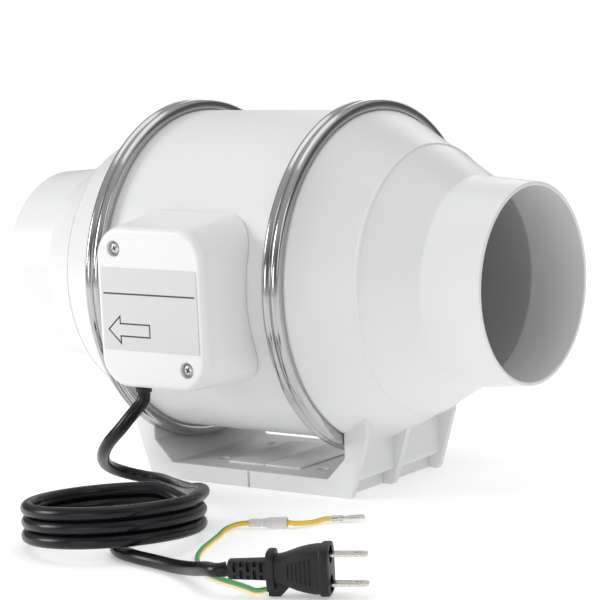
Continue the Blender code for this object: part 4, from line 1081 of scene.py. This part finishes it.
def terminal_box():
    cover = cover_loft("box_cover", cover_rings(0.0, BOX_FACE_Y), COVER)
    hollow = cover_loft("hollow", cover_rings(COVER_WALL, BOX_FACE_Y + COVER_WALL))
    cut(hollow, *[rod("boss", (x, -103.8, z), (x, -115.0, z), 6.0) for x, z in COVER_SCREWS])
    cut(cover, hollow, turned("casing_space", [(-90, 0.0), (-90, BODY_RADIUS + GAP),
                                               (90, BODY_RADIUS + GAP), (90, 0.0)]))
    for x, z in COVER_SCREWS:
        cut(cover, rod("recess", (x, BOX_FACE_Y + 3.4, z), (x, -115.0, z), 3.9, sides=48),
            rod("recess_rim", (x, BOX_FACE_Y + 0.35, z), (x, BOX_FACE_Y - 0.2, z), 3.9, sides=48,
                end_radius=4.4),
            rod("hole", (x, -100.0, z), (x, -115.0, z), 1.9))
    cut(cover, rod("cord_hole", (exit_x, exit_y, 50), (exit_x, exit_y, 75), 5.3, sides=48))
    cover.data.set_sharp_from_angle(angle=radians(40))
    piece(cover, "white_plastic", "terminal_cover", paint=COVER)
    for name, (x, z), spin in (("upper", COVER_SCREWS[0], 0.35), ("lower", COVER_SCREWS[1], 1.0)):
        screw = crosshead(f"box_screw_{name}", (x, BOX_FACE_Y + 3.1, z), (0, -1, 0), 3.2, 2.2, 1.5, 12.0,
                          spin)
        piece(screw, "zinc_plated_steel", f"cover_screw_{name}", paint=ZINC)
    low, high = LABEL_LOW, LABEL_HIGH
    corners = [(low.x, low.z, 0.8), (high.x, low.z, 0.8), (high.x, high.z, 0.8), (low.x, high.z, 0.8)]
    piece(prism("label", corners, low.y, high.y, "Y", LABEL), "label_film", "rating_label")
    width, height = high.x - low.x, high.z - low.z
    rule_z = high.z - 0.31 * height
    left, right = low.x + 0.02 * width, high.x - 0.02 * width
    rule = [(left, rule_z - RULE_HALF), (right, rule_z - RULE_HALF), (right, rule_z + RULE_HALF),
            (left, rule_z + RULE_HALF)]
    piece(printed("label_rule", rule, low.y), "label_film")
    tip, tail = low.x + 0.05 * width, low.x + 0.50 * width
    middle = high.z - 0.75 * height
    head, shaft = 0.185 * height, 0.085 * height
    neck = tip + 0.14 * width
    outer = [(tip, middle), (neck, middle + head), (neck, middle + shaft), (tail, middle + shaft),
             (tail, middle - shaft), (neck, middle - shaft), (neck, middle - head)]
    arrow = printed("label_arrow", outer, low.y)
    inner = shrunk(outer, ARROW_LINE)
    cut(arrow, prism("inside", inner, low.y - 1, low.y + 1, "Y"))
    piece(arrow, "label_film", paint=INK)
    top = BOX_MIDDLE_Z - 24.0
    gland = [(top, 0.0), (top, 6.4, 0.5), (top - 9.0, 6.4, 0.4), (top - 9.6, 4.9, 0.3)]
    for number in range(3):
        z = top - 10.8 - number * 2.7
        r = 4.8 - number * 0.3
        gland += [(z, r, 0.25), (z - 0.35, r - 0.6, 0.2), (z - 1.25, r - 0.65, 0.2),
                  (z - 1.6, r - 0.1, 0.25)]
    gland += [(GLAND_END, 3.85, 0.5), (GLAND_END, 0.0)]
    piece(turned("strain_relief", gland, GLAND_BLACK, 48, middle=(exit_x, exit_y, 0.0), along="Z"),
          "black_pvc", "cord_gland")


# ---- impeller, vanes and nozzle

def blade(x_start, x_end, root, tip, turn, lean, thick, start_angle):
    """A curved blade with a rounded nose: stations along X, rows from root to tip on both of its faces."""
    stations, rings = 16, 6
    shape = bmesh.new()
    rows = []
    for i in range(stations):
        s = i / (stations - 1)
        x = x_start + (x_end - x_start) * s
        both = []
        for way, order in ((-0.5, range(rings)), (0.5, range(rings - 1, -1, -1))):
            for k in order:
                f = k / (rings - 1)
                radius = root(s) + (tip(s) - root(s)) * f
                angle = start_angle + turn(s) + lean * f * f + way * thick(s) * (1 - 0.25 * f) / radius
                both.append(shape.verts.new((x, radius * sin(angle), AXIS_HEIGHT + radius * cos(angle))))
        rows.append(both)
    skin(shape, rows, capped=False)
    size = len(rows[0])
    for row, flip in ((rows[0], False), (rows[-1], True)):
        half = size // 2
        for k in range(half - 1):
            corners = (row[k], row[k + 1], row[size - 2 - k], row[size - 1 - k])
            shape.faces.new(tuple(reversed(corners)) if flip else corners)
    bmesh.ops.triangulate(shape, faces=shape.faces)
    return solid("blade", shape, None, 40)


def rotor():
    hub = turned("impeller_wheel", [
        (46.0, 4.3), (46.0, 14.0, 1.0), (44.6, 18.5, 2.0), (40.0, 22.5, 3.0), (26.0, 29.8, 8.0),
        (8.0, 38.5, 0.6), (8.0, 36.0, 0.6), (25.0, 27.3, 8.0), (38.0, 20.0, 1.0), (38.0, 9.5, 0.8),
        (19.0, 9.5, 0.5), (19.0, 4.3)],
        INSIDE, 120)
    blades = [blade(44.0, 9.5, lambda s: 18.4 + 18.4 * s, lambda s: 60.0 + 16.0 * s,
                    lambda s: radians(54) * s,
                    radians(-6), lambda s: 1.1 + 1.3 * sin(pi * min(1.0, 0.08 + s)), 2 * pi * i / BLADES)
              for i in range(BLADES)]
    unite(hub, *blades)
    hub.data.set_sharp_from_angle(angle=radians(38))
    piece(hub, "white_plastic", "impeller", body="rotor", paint=INSIDE)
    nut = hexagon("shaft_nut", Vector((46.6, 0, AXIS_HEIGHT)), Vector((1, 0, 0)), 11.2, 4.9, ZINC, 0.9)
    washer = turned("washer", [(46.4, 3.3), (46.4, 8.0, 0.3), (47.6, 8.0, 0.3), (47.6, 3.3)], None, 64)
    unite(nut, washer)
    cut(nut, rod("bore", (40, 0, AXIS_HEIGHT), (60, 0, AXIS_HEIGHT), 3.3, sides=48))
    piece(nut, "zinc_plated_steel", "impeller_nut", body="rotor", paint=ZINC)


def guide_vanes():
    cup = turned("vane_carrier", [(4.0, 36.0, 0.5), (-43.2, 36.0, 0.5), (-43.2, 14.0, 0.4),
                                  (-40.4, 14.0, 0.4), (-40.4, 33.0, 1.5),
                                  (4.0, 33.0, 0.5)], INSIDE, 120)
    ring = turned("ring", [(-45.5, 79.7, 0.5), (-12.3, 79.7, 0.5), (-12.3, 77.6, 0.5), (-45.5, 77.6, 0.5)],
                  None, ROUND_SIDES)
    vanes = [blade(-14.0, -42.0, lambda s: 35.2, lambda s: 78.3, lambda s: -radians(26) * (1 - s) ** 2, 0.0,
                   lambda s: 1.1 + 1.1 * sin(pi * min(1.0, 0.1 + s)), 2 * pi * (i + 0.57) / VANES)
                   for i in range(VANES)]
    unite(cup, ring, *vanes)
    spots = [(24.0 * sin(2 * pi * i / 3), AXIS_HEIGHT + 24.0 * cos(2 * pi * i / 3)) for i in range(3)]
    cut(cup, *[rod("hole", (-50, *spot), (-39, *spot), 1.9) for spot in spots])
    piece(cup, "white_plastic", "guide_vane_unit", paint=INSIDE)
    outer = [(-43.6, 36.0), (-52.0, 34.4), (-60.0, 30.0), (-67.5, 22.5), (-72.5, 12.5), (-74.5, 0.0)]
    inner = [(-72.3, 0.0), (-70.5, 11.6), (-65.9, 20.8), (-59.0, 27.8), (-51.6, 32.0), (-43.6, 33.6)]
    loop = [(x, r, 8.0) if 0 < r < 33.5 else (x, r) for x, r in outer + inner]
    piece(turned("tail_fairing", loop, INSIDE, 96), "white_plastic", "tail_cone")
    nozzle = [(60.4, 79.3, 0.4), (57.0, 79.3, 0.4), (57.0, 77.2, 0.5), (53.8, 70.0, 6.0), (49.6, 63.8, 1.0),
              (49.6, 61.8, 0.9), (51.0, 61.8, 0.6), (55.4, 66.8, 6.0), (58.6, 73.0, 6.0),
              (60.4, 77.4, 0.6)]
    piece(turned("inlet_ring", nozzle, INSIDE), "white_plastic", "inlet_nozzle")


duct_body()
for name, side in (("inlet", 1), ("outlet", -1)):
    clamp_band(name, side)
    clamp_fastening(name, side)
terminal_box()
rotor()
guide_vanes()


# ---- carried-over nodes

# Every CAD node that still shows gets the procedural material of its slot.
for node in frame["nodes"].values():
    for place in node.material_slots:
        slot_name = place.material.name.split(".")[0] if place.material else "white_plastic"
        place.material = SLOT_PAINT.get(slot_name, WHITE)
